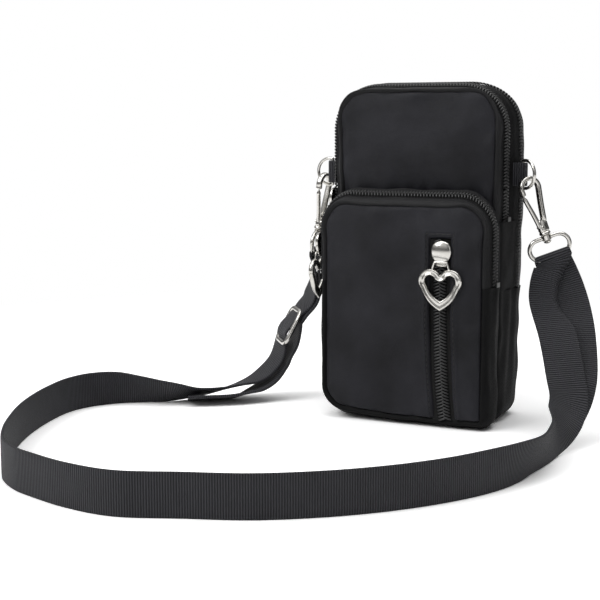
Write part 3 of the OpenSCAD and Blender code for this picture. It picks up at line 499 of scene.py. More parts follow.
def drawn_seam(points, word):
    """Draws a front seam out to the left and down a little, and tightens the roll behind it."""
    if word is None:
        return points
    seam_y, high, drop, rise, square = SEAMS[word]
    x, z = points[:, 0], points[:, 2]
    deep = np.clip(points[:, 1] - seam_y, 0, None)
    near = hump(deep, 0, 1.3)
    roll = hump(deep, 4.0, 3.2)
    left = smooth_step(-x, 24.0, HALF_W - SEAM_IN)
    low = smooth_step(LOW_REACH - z, 0.0, LOW_REACH - SEAM_IN)
    up = smooth_step(z - high + TOP_REACH, 0.0, TOP_REACH - SEAM_IN)
    corner = square * near * smooth_step(np.abs(x), 22.0, 38.0) * smooth_step(z - high, -28.0, -13.0)
    moved = points.copy()
    moved[:, 0] = x + left * (0.8 * roll - 0.6 * near) + corner * np.sign(x)
    moved[:, 2] = z - drop * low * near + rise * up * near + corner
    return moved


def filled(points):
    """Bulges the right rear, lifts the pocket's lower left and pinches the left front above the pocket."""
    x, y, z = points.T
    bulge = smooth_step(x, 22.0, HALF_W) * smooth_step(y, 1.0, 13.0)
    bulge = bulge * (1 - 0.5 * smooth_step(y, 24.0, BACK_Y))
    lift = smooth_step(-x, 2.0, 46.0) * smooth_step(-y, 8.0, 26.0) * smooth_step(-z, -40.0, -6.0)
    front = smooth_step(-y, 1.5, 6.0) * smooth_step(y, MAIN_Y - 4.5, MAIN_Y - 1.0)
    pinch = smooth_step(-x, 30.0, 46.0) * front * np.interp(z, PINCH_Z, PINCH_X)
    moved = points.copy()
    moved[:, 0] = x + bulge * np.interp(z, FULL_Z, FULL_X) + pinch
    moved[:, 2] = z + POCKET_LIFT * lift
    return moved


def keep_up(points):
    points[:, 2] = np.maximum(points[:, 2], 0.05)
    return points


print("the filled side stands out by", max(FULL_X), "mm")

# %% [markdown]
# ## The bands
#
# A band is padded cloth that rolls out of a seam and turns in again beside a zip. Its section is swept along
# an arch, and uneven waves are pushed into it so that it looks sewn by hand.

# %% Band sections
FRONT, BACK = -1, 1
Y_AXIS = (0.0, 1.0, 0.0)
HEM_LEVEL = -0.5


def keys_at(edge_y, facing, *keys):
    return [(level, edge_y + step * facing) for level, step in keys]


def seam_keys(seam_y, facing):
    """The roll of a band out of its seam. Facing is 1 where the cloth runs to the back from it."""
    return keys_at(seam_y, facing, (-SEAM_IN - 0.5, 1.6), (-SEAM_IN - 0.1, 0.5), (-4.75, 0.05), (-3.5, 0.75),
        (-2.2, 2.2), (-1.1, 4.2))


def zip_keys(edge_y, facing):
    """The hem beside a zip. Facing is 1 where the band runs to the front from its zip."""
    return keys_at(edge_y, facing, (HEM_LEVEL, -1.6), (HEM_LEVEL - 0.05, -0.3), (HEM_LEVEL - 0.6, 0.1),
        (HEM_LEVEL - 1.2, 0.0))


def after_zip(coil_y):
    """The same hem read the other way: where a band starts behind its zip."""
    return zip_keys(coil_y + GAP / 2, -1)[::-1]


def before_zip(coil_y):
    return zip_keys(coil_y - GAP / 2, 1)


print("keys of a seam:", len(seam_keys(MAIN_Y, 1)), "and of a hem:", len(before_zip(MAIN_COIL)))

# %% [markdown]
# The section is swept along its arch. Only its middle is pushed by the waves, so that its edges stay sewn.

# %% Band pieces
def band_piece(name, path, keys, body, stands_for, wobble=0.25, wave=16, seed=1, blend=None, folds=None,
        slant=None, pull=None, skin=BAND):
    points, outs = path
    section = thick_section(keys)
    m = len(section) // 2
    t = np.concatenate([np.linspace(0, 1, m), np.linspace(1, 0, m)])
    weight = np.sin(np.pi * t) ** 0.8
    swept, faces, uv = sweep(points, outs, Y_AXIS, section)
    push = ripple(swept, wave, seed) * wobble
    if folds is not None:
        push = push + folds(swept)
    push = push * np.tile(weight, len(points))
    every_out = np.repeat(outs, len(section), axis=0)
    swept = slanted(swept + every_out * push[:, None], every_out, slant)
    swept = keep_up(filled(drawn_seam(swept, pull)))
    make(name, swept, faces, skin, body, stands_for, "nylon_band", uv, 0.5, blend, sharp=60)


def fold_blend(flap, y, fold_z, gap=6):
    """A fold of cloth between the pouch below and the flap above. Only whether it is given is used: the
    piece is then baked in place.
    """
    return ("pouch", flap, (0, y * MM, (fold_z - gap) * MM), (0, y * MM, (fold_z + gap) * MM))


MAIN_BLEND = fold_blend("main_flap", MAIN_Y, FOLD_Z)
REAR_BLEND = fold_blend("rear_flap", BACK_Y, REAR_FOLD)
MAIN_ARCH = (HALF_W, MAIN_END, BODY_H, TOP_R)
REAR_ARCH = (HALF_W, REAR_END, BODY_H, TOP_R)
POCKET_ARCH = (HALF_W, POCKET_END, POCKET_H, POCKET_R)

front_keys = seam_keys(MAIN_Y, 1) + before_zip(MAIN_COIL)
band_piece("main_front_band", arch(*MAIN_ARCH), front_keys, None, ["main_flap_band", "zip_band_ends"],
    seed=2, blend=MAIN_BLEND, slant="main", pull="main")

middle_keys = after_zip(MAIN_COIL) + [(0.0, MAIN_COIL + GAP / 2 + 3.5)] + before_zip(REAR_COIL)
# The middle band is made of the darker nylon: painted shade.
band_piece("main_middle_band_cloth", arch(*MAIN_ARCH), middle_keys, "pouch", ["main_middle_band"], seed=3,
    wobble=0.2, slant="main", skin=SHADED_NYLON)

rear_keys = after_zip(REAR_COIL) + seam_keys(BACK_Y, -1)[::-1]
band_piece("rear_band_cloth", arch(*REAR_ARCH), rear_keys, None, ["rear_flap_band"], seed=4,
    blend=REAR_BLEND)

# %% [markdown]
# The gussets below the zips are wider, and they hang in long soft folds. Their darker nylon is painted
# shade.

# %% Gussets
FOLDED_FROM = 44
LOW_RIGHT_R = 9.0


def side_folds(amount, wave, seed):
    def folds(points):
        high = np.clip((points[:, 2] - 6) / 30, 0, 1)
        bend = ripple(points * [0, 0.2, 1], 60, seed) * 2.5
        line = np.sin(FULL_TURN * (points[:, 1] + bend) / wave)
        uneven = 0.6 + 0.4 * ripple(points, 45, seed + 1)
        return amount * line * uneven * high * (np.abs(points[:, 0]) > FOLDED_FROM)
    return folds


def straight(side, low, high, step=1.5):
    z = np.linspace(low, high, max(4, int((high - low) / step)))
    if side > 0:
        z = z[::-1]
    return as_points(side * HALF_W, 0.0, z), as_points(float(side), 0.0, np.zeros_like(z))


upper_keys = seam_keys(MAIN_Y, 1) + [(0.0, MAIN_Y + 8), (0.0, 8.0)] + before_zip(REAR_COIL)
for side, word in ((1, "right"), (-1, "left")):
    stands = ["side_gussets"] if side > 0 else []
    band_piece(f"side_gusset_{word}", straight(side, REAR_END, MAIN_END), upper_keys, "pouch", stands,
        wobble=0.3, seed=5 + side, folds=side_folds(0.3, 13, 20), pull="main", skin=SHADED_NYLON)

lower_keys = seam_keys(MAIN_Y, 1) + [(0.0, MAIN_Y + 8), (0.0, 3.0), (0.0, 12.0), (0.0, BACK_Y - 8)]
lower_keys += seam_keys(BACK_Y, -1)[::-1]
low_path = sling(HALF_W, REAR_END, LOW_R, LOW_RIGHT_R)
band_piece("lower_gusset_cloth", low_path, lower_keys, "pouch", ["lower_gusset"], wobble=0.35, wave=22,
    seed=8, folds=side_folds(0.7, 11, 21), skin=SHADED_NYLON)

# %% [markdown]
# The pocket is built in the same way in front of the body: two bands beside its zip, and a gusset below.

# %% Pocket bands
POCKET_LOW_R, POCKET_RIGHT_R = 17.0, 7.0
POCKET_BACK = [(0.0, MAIN_Y - 5.5), (-0.8, MAIN_Y - 3.2), (-2.2, MAIN_Y - 1.3), (-4.2, MAIN_Y - 0.1),
    (-5.8, MAIN_Y + 0.3)]
pocket_front = seam_keys(POCKET_Y, 1) + before_zip(POCKET_COIL)
band_piece("pocket_front_band_cloth", arch(*POCKET_ARCH), pocket_front, "pouch", ["pocket_front_band"],
    seed=11, slant="pocket", pull="pocket")
band_piece("pocket_back_band_cloth", arch(*POCKET_ARCH), after_zip(POCKET_COIL) + POCKET_BACK, "pouch",
    ["pocket_back_band"], seed=12, wobble=0.2, slant="pocket")
pocket_low = seam_keys(POCKET_Y, 1) + [(0.0, POCKET_Y + 8), (0.0, POCKET_Y + 11)] + POCKET_BACK
pocket_path = sling(HALF_W, POCKET_END, POCKET_LOW_R, POCKET_RIGHT_R)
band_piece("pocket_gusset_cloth", pocket_path, pocket_low, "pouch", ["pocket_gusset"], wobble=0.3, wave=20,
    seed=13, folds=side_folds(0.5, 10, 22), pull="pocket", skin=SHADED_NYLON)

# %% [markdown]
# ## The panels
#
# A panel is a grid of rows and columns fitted into its rounded outline. It dips into the seam all round,
# bulges in the middle, and is thickened at the end.

# %% Panel shape
HALF_PANEL = HALF_W - SEAM_IN
CROWN_REACH = 34.0


def corner_inset(z, low, high, low_r, high_r):
    up = np.clip(z - (high - high_r), 0, high_r)
    down = np.clip(low + low_r - z, 0, low_r)
    top = high_r - np.sqrt(np.maximum(high_r ** 2 - up ** 2, 0))
    bottom = low_r - np.sqrt(np.maximum(low_r ** 2 - down ** 2, 0))
    return np.maximum(top, bottom)


def side_edges(z, low, high, radii):
    """Where the left and the right edge run. Radii: low left, low right, high left, high right."""
    left = -HALF_PANEL + corner_inset(z, low, high, radii[0], radii[2])
    right = HALF_PANEL - corner_inset(z, low, high, radii[1], radii[3])
    return left[:, None], right[:, None]


def seam_distance(x, z, low, high, radii):
    """How far a point lies inside a rounded outline."""
    middle = (low + high) / 2
    left, up = x < 0, z > middle
    r = np.where(up, np.where(left, radii[2], radii[3]), np.where(left, radii[0], radii[1]))
    qx = np.abs(x) - (HALF_PANEL - r)
    qz = np.abs(z - middle) - ((high - low) / 2 - r)
    outside = np.hypot(np.maximum(qx, 0), np.maximum(qz, 0))
    return np.maximum(r - outside - np.minimum(np.maximum(qx, qz), 0), 0)


def spread(low, high, count, ends=0.35):
    """Values between two limits, closer together at both ends."""
    t = np.linspace(0, 1, count)
    eased = (1 - np.cos(np.pi * t)) / 2
    return low + (high - low) * (eased * ends + t * (1 - ends))


def cloth_shape(x, z, low, high, radii, crown, seed):
    """How far the cloth stands out: the bulge, the dip at the seam, puckers beside it and slow swells."""
    d = seam_distance(x, z, low, high, radii)

    def swell(wave, step):
        return ripple(as_points(x, 0.0, z), wave, seed + step).reshape(x.shape)

    bulge = crown * (1 - (1 - np.clip(d / CROWN_REACH, 0, 1)) ** 2.4)
    dip = 1.5 * np.exp(-d / 0.9)
    pucker = 0.75 * swell(13, 1) * np.exp(-d / 6) * (1 - np.exp(-d / 1.0))
    calm = 1 - np.exp(-d / 10)
    return bulge - dip + pucker + (1.05 * swell(62, 0) + 0.42 * swell(27, 2)) * calm


print("the front panel is", 2 * HALF_PANEL, "mm wide between its seams")

# %% [markdown]
# Blender's Solidify modifier thickens a sheet. The result is baked into a mesh.

# %% Panel pieces
PANEL_THICK, FACE_THICK, LINING_THICK = 1.3, 1.1, 0.7
INWARD, BOTH_WAYS = -1, 0
PANEL_LOW_R = 7


def rows_like(z, x):
    return np.repeat(z[:, None], x.shape[1], axis=1)


def thickened(name, x, y, z, pulls, faces, skin, thick, offset, body, stands_for, blend=None):
    points = as_points(x, y, z)
    for pull in pulls:
        points = filled(drawn_seam(points, pull))
    made = make(name, points, faces, skin, None, uv=np.stack([x, z], axis=-1).reshape(-1, 2))
    padding = made.modifiers.new("padding", "SOLIDIFY")
    padding.thickness = thick * MM
    padding.offset = offset
    depsgraph = bpy.context.evaluated_depsgraph_get()
    mesh = bpy.data.meshes.new_from_object(made.evaluated_get(depsgraph))
    made.modifiers.clear()
    made.data = mesh
    settle(made, body, stands_for, blend)


def panel_piece(name, y, facing, crown, seed, stands_for, blend, extra=None, pull=None):
    low, high = SEAM_IN, BODY_H - SEAM_IN
    radii = (PANEL_LOW_R, PANEL_LOW_R, TOP_R - SEAM_IN, TOP_R - SEAM_IN)
    z = spread(low, high, 110)
    left, right = side_edges(z, low, high, radii)
    x = left + (right - left) * spread(0, 1, 76)[None, :]
    zz = rows_like(z, x)
    push = cloth_shape(x, zz, low, high, radii, crown, seed)
    if extra is not None:
        push = push + extra(x, zz)
    faces = grid(*x.shape)
    if facing == BACK:
        faces = [f[::-1] for f in faces]
    thickened(name, x, y + facing * push, zz, [pull], faces, PANEL, PANEL_THICK, INWARD, None, stands_for,
        blend)


def over_pocket(x, z):
    """The front is pressed in where the top of the pocket is sewn to it."""
    press = -2.0 * hump(z, 120, 8.0) + 0.5 * hump(z, 150, 16.0)
    pulls = np.sin(x * 0.55 + 2.0 * np.sin(x * 0.13)) * hump(z, 124, 5.0)
    return press + 0.75 * pulls


panel_piece("front_cloth", MAIN_Y, FRONT, 2.2, 31, ["main_front_panel", "main_flap_panel"], MAIN_BLEND,
    extra=over_pocket, pull="main")
panel_piece("back_cloth", BACK_Y, BACK, 1.6, 41, ["back_panel", "rear_flap_panel"], REAR_BLEND)

# %% [markdown]
# The pocket's face has an upright slot. Its columns follow the slot, which leans to the right lower down.

# %% Pocket face
SLOT_TOP = 102.5
SLOT_HALF = 5.6
POCKET_LOW, POCKET_HIGH = SEAM_IN, POCKET_H - SEAM_IN
POCKET_RADII = (12.5, 1.6, POCKET_R - SEAM_IN, POCKET_R - SEAM_IN)
LEFT_COLUMNS, SLOT_COLUMNS, RIGHT_COLUMNS = 58, 9, 30


def slot_middle(z):
    t = np.clip((SLOT_TOP - z) / (SLOT_TOP - POCKET_LOW), 0, 1)
    return 21.3 + 0.8 * t + 3.2 * t ** 4


def face_push(x, z):
    """The cloth of the face, turned in at the slot with a stitched lip round it."""
    push = cloth_shape(x, z, POCKET_LOW, POCKET_HIGH, POCKET_RADII, 1.7, 51)
    across = np.abs(x - slot_middle(z)) - SLOT_HALF
    above = z - SLOT_TOP
    edge = np.maximum(across, above)
    lip = -1.5 * np.exp(-np.clip(edge, 0, None) / 0.7) + 0.45 * hump(edge, 2.4, 1.6)
    welt = -0.35 * hump(np.maximum(across, above - 1.2), 1.9, 0.35)
    return push + lip + welt


def face_columns(z):
    left, right = side_edges(z, POCKET_LOW, POCKET_HIGH, POCKET_RADII)
    slot_left, slot_right = (slot_middle(z) - SLOT_HALF)[:, None], (slot_middle(z) + SLOT_HALF)[:, None]
    near = 1 - (1 - np.linspace(0, 1, LEFT_COLUMNS)) ** 2.2
    far = np.linspace(0, 1, RIGHT_COLUMNS) ** 2.0
    inside = 2 * SLOT_HALF * np.linspace(0, 1, SLOT_COLUMNS)[1:-1]
    return np.concatenate([left + (slot_left - left) * near, slot_left + inside,
        slot_right + (right - slot_right) * far], axis=1)


below = SLOT_TOP - (SLOT_TOP - POCKET_LOW) * np.linspace(1, 0, 92) ** 1.5
above = SLOT_TOP + (POCKET_HIGH - SLOT_TOP) * spread(0, 1, 30, 0.6)[1:]
face_z = np.concatenate([below, above])
face_x = face_columns(face_z)
face_zz = rows_like(face_z, face_x)
kept_faces = []
for face in grid(*face_x.shape):
    row, col = divmod(face[0], face_x.shape[1])
    in_slot = LEFT_COLUMNS - 1 <= col < LEFT_COLUMNS + SLOT_COLUMNS - 2
    if not (in_slot and row < len(below) - 1):
        kept_faces.append(face)
face_y = POCKET_Y - face_push(face_x, face_zz)
thickened("pocket_face_cloth", face_x, face_y, face_zz, ["pocket"], kept_faces, PANEL, FACE_THICK, INWARD,
    "pouch", ["pocket_face"])

# %% [markdown]
# Inside the pouch a plain wall divides the compartments, and a lining closes the slot from behind.

# %% Inner cloth
def inner_sheet(name, y, low, high, half, low_r, high_r, stands_for, seed):
    z = spread(low, high, 60)
    reach = half - corner_inset(z, low, high, low_r, high_r)[:, None]
    x = -reach + 2 * reach * spread(0, 1, 40)[None, :]
    zz = rows_like(z, x)
    bend = 0.35 * ripple(as_points(x, 0.0, zz), 40, seed).reshape(x.shape)
    thickened(name, x, y + bend, zz, [], grid(*x.shape), LINING, LINING_THICK, BOTH_WAYS, "pouch",
        stands_for)


MIDDLE_Y = (MAIN_COIL + REAR_COIL) / 2
inner_sheet("divider_cloth", MIDDLE_Y, 2, BODY_H - 2, HALF_W - 2, 10, 24, ["compartment_divider"], 61)
inner_sheet("slip_lining_cloth", POCKET_Y + 2.3, 6.5, POCKET_H - 7, HALF_W - 7, 5, 13, ["slip_lining"], 62)

# %% [markdown]
# ## The zips
#
# A nylon coil shows as slanted loops that lean towards each other like chevrons. One loop is a small bent
# capsule, copied along the path of the zip.

# %% Zip teeth
TOOTH_REACH = 2.75


def circle(sides):
    return np.linspace(0, FULL_TURN, sides, endpoint=False)


def capsule_template(a, b, radius, bow, rings=5, sides=7):
    """A bowed rod between two points of a tooth's own frame: along the zip, across it, and outwards."""
    a, b = np.asarray(a, float), np.asarray(b, float)
    t = np.linspace(0, 1, rings)
    line = a + (b - a) * t[:, None]
    line[:, 2] += bow * np.sin(np.pi * t)
    size = radius * np.array([0.55] + [1.0] * (rings - 2) + [0.75])
    up = np.array([0.0, 0.0, 1.0])
    wide = unit(np.cross(up, unit(b - a)))
    ring = np.cos(circle(sides))[:, None] * wide + np.sin(circle(sides))[:, None] * up
    return (line[:, None] + ring[None] * size[:, None, None]).reshape(-1, 3), capped_grid(rings, sides)


def copies_along(line, outs, across, wanted, template):
    """Copies a template to each wanted length. Across is the direction over the line, if it is fixed."""
    points, faces = template
    places = at_lengths(line, line, wanted)
    out = unit(at_lengths(line, np.broadcast_to(outs, line.shape), wanted))
    step = unit(at_lengths(line, np.gradient(line, axis=0), wanted))
    wide = np.cross(out, step) if across is None else np.broadcast_to(across, out.shape)
    copied = (places[:, None] + step[:, None] * points[None, :, :1] + wide[:, None] * points[None, :, 1:2]
        + out[:, None] * points[None, :, 2:])
    every = [[i + len(points) * k for i in f] for k in range(len(places)) for f in faces]
    return copied.reshape(-1, 3), every, np.repeat(out, len(points), axis=0)


def teeth(name, line, outs, across, side, body, stands_for, level=-0.25, phase=0.0, slant=None,
        reach=TOOTH_REACH):
    """The loops of one half of a coil. Side is the half's direction across the zip."""
    wanted = np.arange(PITCH * (0.3 + phase), run_length(line)[-1] - 0.3 * PITCH, PITCH)
    tip, root = (0.75 * reach / TOOTH_REACH, side * reach, level), (-0.45, -side * 0.3, level + 0.25)
    points, faces, out = copies_along(line, outs, across, wanted, capsule_template(tip, root, 0.52, 0.25))
    points = filled(slanted(points, out, slant))
    make(name, points, faces, COIL, body, stands_for, "zip_coil", sharp=70)


def tape(name, line, outs, across, side, body, stands_for, level=-0.95, outer=4.3, slant=None):
    inner = 0.12
    section = np.array([[0.0, inner], [0.0, outer], [-0.5, outer], [-0.5, inner]])
    section = section * [1, side] + [level, 0]
    if side > 0:
        section = section[::-1]
    points, faces, uv = sweep(line, outs, across, section)
    every_out = np.repeat(np.broadcast_to(outs, line.shape), len(section), axis=0)
    points = filled(slanted(points, every_out, slant))
    make(name, points, faces, TAPE, body, stands_for, "zip_tape", uv)


print("a zip of 100 mm has", int(100 / PITCH), "loops on each side")

# %% [markdown]
# Each zip has two halves. Where a flap folds, the upper part of its half rides on the flap, and the ends
# below the fold stay on the pouch. The halves' teeth are half a pitch apart, so that they interleave.

# %% Zip halves
def zip_half(name, shape, coil_y, side, fold, flap, nodes, slant=None):
    """Tape and coil of one half. Nodes: upper tape, upper coil, tape ends, coil ends."""
    points, outs = arch(*shape, step=0.8)
    points = points + [0, coil_y, 0]

    def both(word, keep, body, tape_nodes, coil_nodes, phase):
        line = (points[keep], outs[keep], Y_AXIS, side, body)
        tape(f"{name}_tape{word}", *line, tape_nodes, slant=slant)
        teeth(f"{name}_coil{word}", *line, coil_nodes, phase=phase, slant=slant)

    if fold is None:
        both("", slice(None), "pouch", nodes[:1], nodes[1:], 0.0 if side < 0 else 0.5)
        return
    both("", points[:, 2] >= fold, flap, nodes[:1], nodes[1:2], 0.0)
    for hand, word in ((-1, "_left"), (1, "_right")):
        keep = (points[:, 0] * hand > 0) & (points[:, 2] < fold)
        both(word, keep, "pouch", nodes[2:3] if hand > 0 else [], nodes[3:4] if hand > 0 else [], 0.0)


zip_half("main_front", MAIN_ARCH, MAIN_COIL, FRONT, FOLD_Z, "main_flap",
    ["main_flap_tape", "main_flap_coil", "zip_tape_ends", "zip_coil_ends"], slant="main")
zip_half("main_rear", MAIN_ARCH, MAIN_COIL, BACK, None, None, ["main_body_tape", "main_body_coil"],
    slant="main")
zip_half("rear_front", REAR_ARCH, REAR_COIL, FRONT, None, None, ["rear_body_tape", "rear_body_coil"])
zip_half("rear_rear", REAR_ARCH, REAR_COIL, BACK, REAR_FOLD, "rear_flap",
    ["rear_flap_tape", "rear_flap_coil"])
zip_half("pocket_front", POCKET_ARCH, POCKET_COIL, FRONT, None, None,
    ["pocket_zip_tapes", "pocket_zip_coils"], slant="pocket")
zip_half("pocket_rear", POCKET_ARCH, POCKET_COIL, BACK, None, None, [], slant="pocket")

# %% [markdown]
# The slot's zip runs down the same leaning line as the slot in the cloth.

# %% Slot zip
slot_z = np.linspace(SLOT_TOP - 0.5, POCKET_LOW - 1.0, 120)
slot_line = as_points(slot_middle(slot_z), POCKET_Y + 0.5, slot_z)
TO_FRONT, TO_RIGHT = (0.0, -1.0, 0.0), (1.0, 0.0, 0.0)
for side, word in ((-1, "left"), (1, "right")):
    stands = ["slot_zip_tapes", "slot_zip_coils"] if side < 0 else []
    half_zip = (slot_line, TO_FRONT, TO_RIGHT, side, "pouch")
    tape(f"slot_tape_{word}", *half_zip, stands[:1], level=-0.2, outer=7.0)
    teeth(f"slot_coil_{word}", *half_zip, stands[1:], level=0.55, phase=0.0 if side < 0 else 0.5, reach=3.5)

# %% [markdown]
# ## Wire and bar shapes for the metal
#
# `tube` runs a round wire along a line, and `bar` runs a rounded rectangle along a flat line.

# %% Metal helpers
def smooth_closed(keys, rounds=3):
    line = np.asarray(keys, float)
    for _ in range(rounds):
        after = np.roll(line, -1, axis=0)
        pairs = [line * 0.75 + after * 0.25, line * 0.25 + after * 0.75]
        line = np.stack(pairs, axis=1).reshape(-1, line.shape[1])
    return line


def tube(line, radius, normal, closed=False, sides=14, flat=1.0):
    """A wire along a line that lies in one plane. Normal is the direction across that plane."""
    line = np.asarray(line, float)
    along = np.roll(line, -1, axis=0) - np.roll(line, 1, axis=0) if closed else np.gradient(line, axis=0)
    normal = np.broadcast_to(np.asarray(normal, float), line.shape)
    wide = unit(np.cross(normal, unit(along)))
    turn = circle(sides)[None, :, None]
    ring = np.cos(turn) * wide[:, None] * radius + np.sin(turn) * normal[:, None] * radius * flat
    points = (line[:, None] + ring).reshape(-1, 3)
    if not closed:
        return points, capped_grid(len(line), sides)
    return points, [[i % len(points) for i in f] for f in grid(len(line) + 1, sides, wrap=True)]


def bar(line, half_in, half_y, power=3.2, taper=0.35):
    """A bar with a soft rectangular section along a line in the XZ plane. Its ends are rounded off."""
    line = np.asarray(line, float)
    along = unit(np.gradient(line, axis=0))
    wide = as_points(along[:, 2], 0.0, -along[:, 0])
    sides = 20
    waves = np.cos(circle(sides)), np.sin(circle(sides))
    ring_in, ring_y = [np.sign(w) * np.abs(w) ** (2 / power) for w in waves]
    run = run_length(line)
    near = np.minimum(run, run[-1] - run)
    ease = taper + (1 - taper) * np.sqrt(1 - (1 - np.clip(near / 0.8, 0, 1)) ** 2)
    inward = ring_in[None, :] * (half_in * ease)[:, None]
    sideways = ring_y[None, :] * (half_y * ease)[:, None]
    points = line[:, None] + wide[:, None] * inward[..., None] + np.array(Y_AXIS) * sideways[..., None]
    return points.reshape(-1, 3), capped_grid(len(line), sides)


def lathe(profile, sides=28):
    """A turned shape about Z from (radius, height) pairs."""
    radius, height = np.hsplit(np.asarray(profile, float), 2)
    points = as_points(radius * np.cos(circle(sides)), radius * np.sin(circle(sides)), height)
    return points, capped_grid(len(profile), sides)


def join(*parts):
    points, faces, start = [], [], 0
    for part_points, part_faces in parts:
        points.append(part_points)
        faces += [[i + start for i in f] for f in part_faces]
        start += len(part_points)
    return np.concatenate(points), faces


def turn_matrix(axis, degrees):
    c, s = math.cos(math.radians(degrees)), math.sin(math.radians(degrees))
    if axis == "y":
        return np.array([[c, 0, s], [0, 1, 0], [-s, 0, c]])
    return np.array([[c, -s, 0], [s, c, 0], [0, 0, 1]])


def placed(shape, turn, place):
    points, faces = shape
    return points @ np.asarray(turn).T + np.asarray(place), faces


def metal(name, shape, body, stands_for):
    return make(name, *shape, NICKEL, body, stands_for, "nickel", sharp=35)


print("a short wire has", len(tube([(0, 0, 0), (0, 0, 1)], 1.0, Y_AXIS)[0]), "points")

# %% [markdown]
# ## Slider caps
#
# A die cast cap is a low dome with a waist. Its outline gives the width at each height, and a profile across
# it gives the dome.

# %% Slider caps
CAP = [(7.0, 0.3), (6.95, 1.5), (6.5, 3.0), (5.5, 4.3), (4.0, 5.1), (2.2, 5.5), (0.2, 5.45), (-1.8, 4.9),
    (-3.4, 4.0), (-4.6, 3.1), (-5.3, 2.8), (-6.0, 3.0), (-6.5, 2.8), (-6.7, 1.8), (-6.75, 0.3)]
CAP_GAP = 0.3


def cap_shape(level):
    z, half = round_line(CAP, 2).T
    across = np.sin(np.linspace(-math.pi / 2, math.pi / 2, 19))
    rise = np.clip(1 - np.abs((z - 0.9) / 6.3) ** 2.2, 0, 1) ** 0.55
    height = 0.5 + 2.3 * rise + 0.5 * hump(z, -5.9, 0.8)
    dome = 0.2 + 0.8 * np.sqrt(1 - 0.98 * across ** 2)
    x = half[:, None] * across[None, :]
    rows, cols = x.shape
    front = as_points(x, -(level + CAP_GAP + height[:, None] * dome[None, :]), z[:, None])
    back = front * [1, 0, 1] - [0, level + CAP_GAP, 0]
    base = rows * cols
    faces = [f[::-1] for f in grid(rows, cols)] + grid(rows, cols, start=base)
    for r in range(rows - 1):
        a, b = r * cols, (r + 1) * cols
        faces.append([a, a + base, b + base, b])
        a, b = a + cols - 1, b + cols - 1
        faces.append([b, b + base, a + base, a])
    for c in range(cols - 1):
        faces.append([c, c + 1, c + 1 + base, c + base])
        a = (rows - 1) * cols + c
        faces.append([a + 1, a, a + base, a + 1 + base])
    return np.concatenate([front, back]), faces


print("a cap has", len(cap_shape(0)[1]), "faces")

# %% [markdown]
# ## Heart pulls
#
# The outline of a heart is two lobes, two flanks and a notch. Between an outer and an inner outline runs a
# rim with a groove in its middle, and a wire loop hangs it from the slider.

# %% Heart pulls
HEART_W, HEART_H, RIM, LINK = 24.0, 22.6, 3.7, 3.5
PIN_DROP, PIN_LEVEL, LINK_WIRE = 4.3, 1.9, 0.58
RIM_ACROSS = np.array([0.0, 0.04, 0.14, 0.27, 0.4, 0.5, 0.6, 0.73, 0.86, 0.96, 1.0])
RIM_HEIGHT = np.array([0.15, 0.75, 1.15, 1.25, 1.0, 0.88, 1.0, 1.25, 1.15, 0.75, 0.15])


def heart_outlines():
    """The outer and the inner outline of the rim, and the radius of a lobe."""
    r = HEART_W * 0.27
    a = HEART_W / 2 - r
    drop = HEART_H - r
    notch = math.pi - math.acos(a / r)
    tangent = math.atan2(-drop, -a) + math.acos(r / math.hypot(a, drop))
    notch_z = r * math.sin(notch)
    outer, inner = [], []
    for t in np.linspace(-math.pi / 2, notch - math.pi, 7)[:-1]:
        outer.append((0.0, notch_z))
        inner.append((RIM * math.cos(t), notch_z + RIM * math.sin(t)))
    for t in np.linspace(notch, tangent, 30):
        outer.append((a + r * math.cos(t), r * math.sin(t)))
        inner.append((a + (r - RIM) * math.cos(t), (r - RIM) * math.sin(t)))
    tip_out, tip_in = np.array([0.0, -drop]), np.array([0.0, -drop - RIM / math.sin(tangent)])
    last_out, last_in = np.array(outer[-1]), np.array(inner[-1])
    for t in np.linspace(0, 1, 13)[1:]:
        bow = math.sin(math.pi * t) * np.array([math.cos(tangent), math.sin(tangent)])
        outer.append(last_out * (1 - t) + tip_out * t + bow * 1.5)
        inner.append(last_in * (1 - t) + tip_in * t + bow * 1.2)
    halves = np.array(outer), np.array(inner)
    return [np.concatenate([half, (half * [-1, 1])[-2:0:-1]]) for half in halves] + [r]


def heart_shape(level):
    outer, inner, r = heart_outlines()
    shares = np.concatenate([RIM_ACROSS, RIM_ACROSS[::-1]])
    levels = np.concatenate([-RIM_HEIGHT, RIM_HEIGHT[::-1]])
    line = outer[:, None] * (1 - shares[None, :, None]) + inner[:, None] * shares[None, :, None]
    points = as_points(line[..., 0], levels[None, :], line[..., 1] - LINK - r)
    faces = [[i % len(points) for i in f] for f in grid(len(outer) + 1, len(shares), wrap=True)]
    loop = round_line([(-5.0, 0, -4.9), (-4.6, 0, -3.6), (-3.7, 0, -0.4), (-3.3, 0, 0.05), (3.3, 0, 0.05),
        (3.7, 0, -0.4), (4.6, 0, -3.6), (5.0, 0, -4.9)], 2)
    both = join((points, faces), tube(loop, LINK_WIRE, Y_AXIS))
    return placed(both, np.eye(3), (0, -level - PIN_LEVEL, -PIN_DROP))


print("a heart has", len(heart_shape(0)[1]), "faces")

# %% [markdown]
# Each is made facing the front about its own slider, and then turned to where its zip runs.

# %% Sliders and pulls in place
LEFT_TURN = turn_matrix("z", -90)
FRONT_TURN = np.eye(3)
SLIDERS = [
    ("slot", FRONT_TURN, (22.6, POCKET_Y, 94.5), 1.3),
    ("pocket", LEFT_TURN, (-HALF_W, POCKET_COIL, 96.0), 0.4),
    ("main", LEFT_TURN, (-HALF_W, MAIN_COIL, 119.7), 0.4),
    ("rear", LEFT_TURN, (-HALF_W, REAR_COIL, 82.3), 0.4),
]
for word, turn, place, level in SLIDERS:
    metal(f"{word}_slider_cap", placed(cap_shape(level), turn, place), f"{word}_slider", [f"{word}_slider"])
    metal(f"{word}_heart_pull", placed(heart_shape(level), turn, place), f"{word}_heart", [f"{word}_heart"])

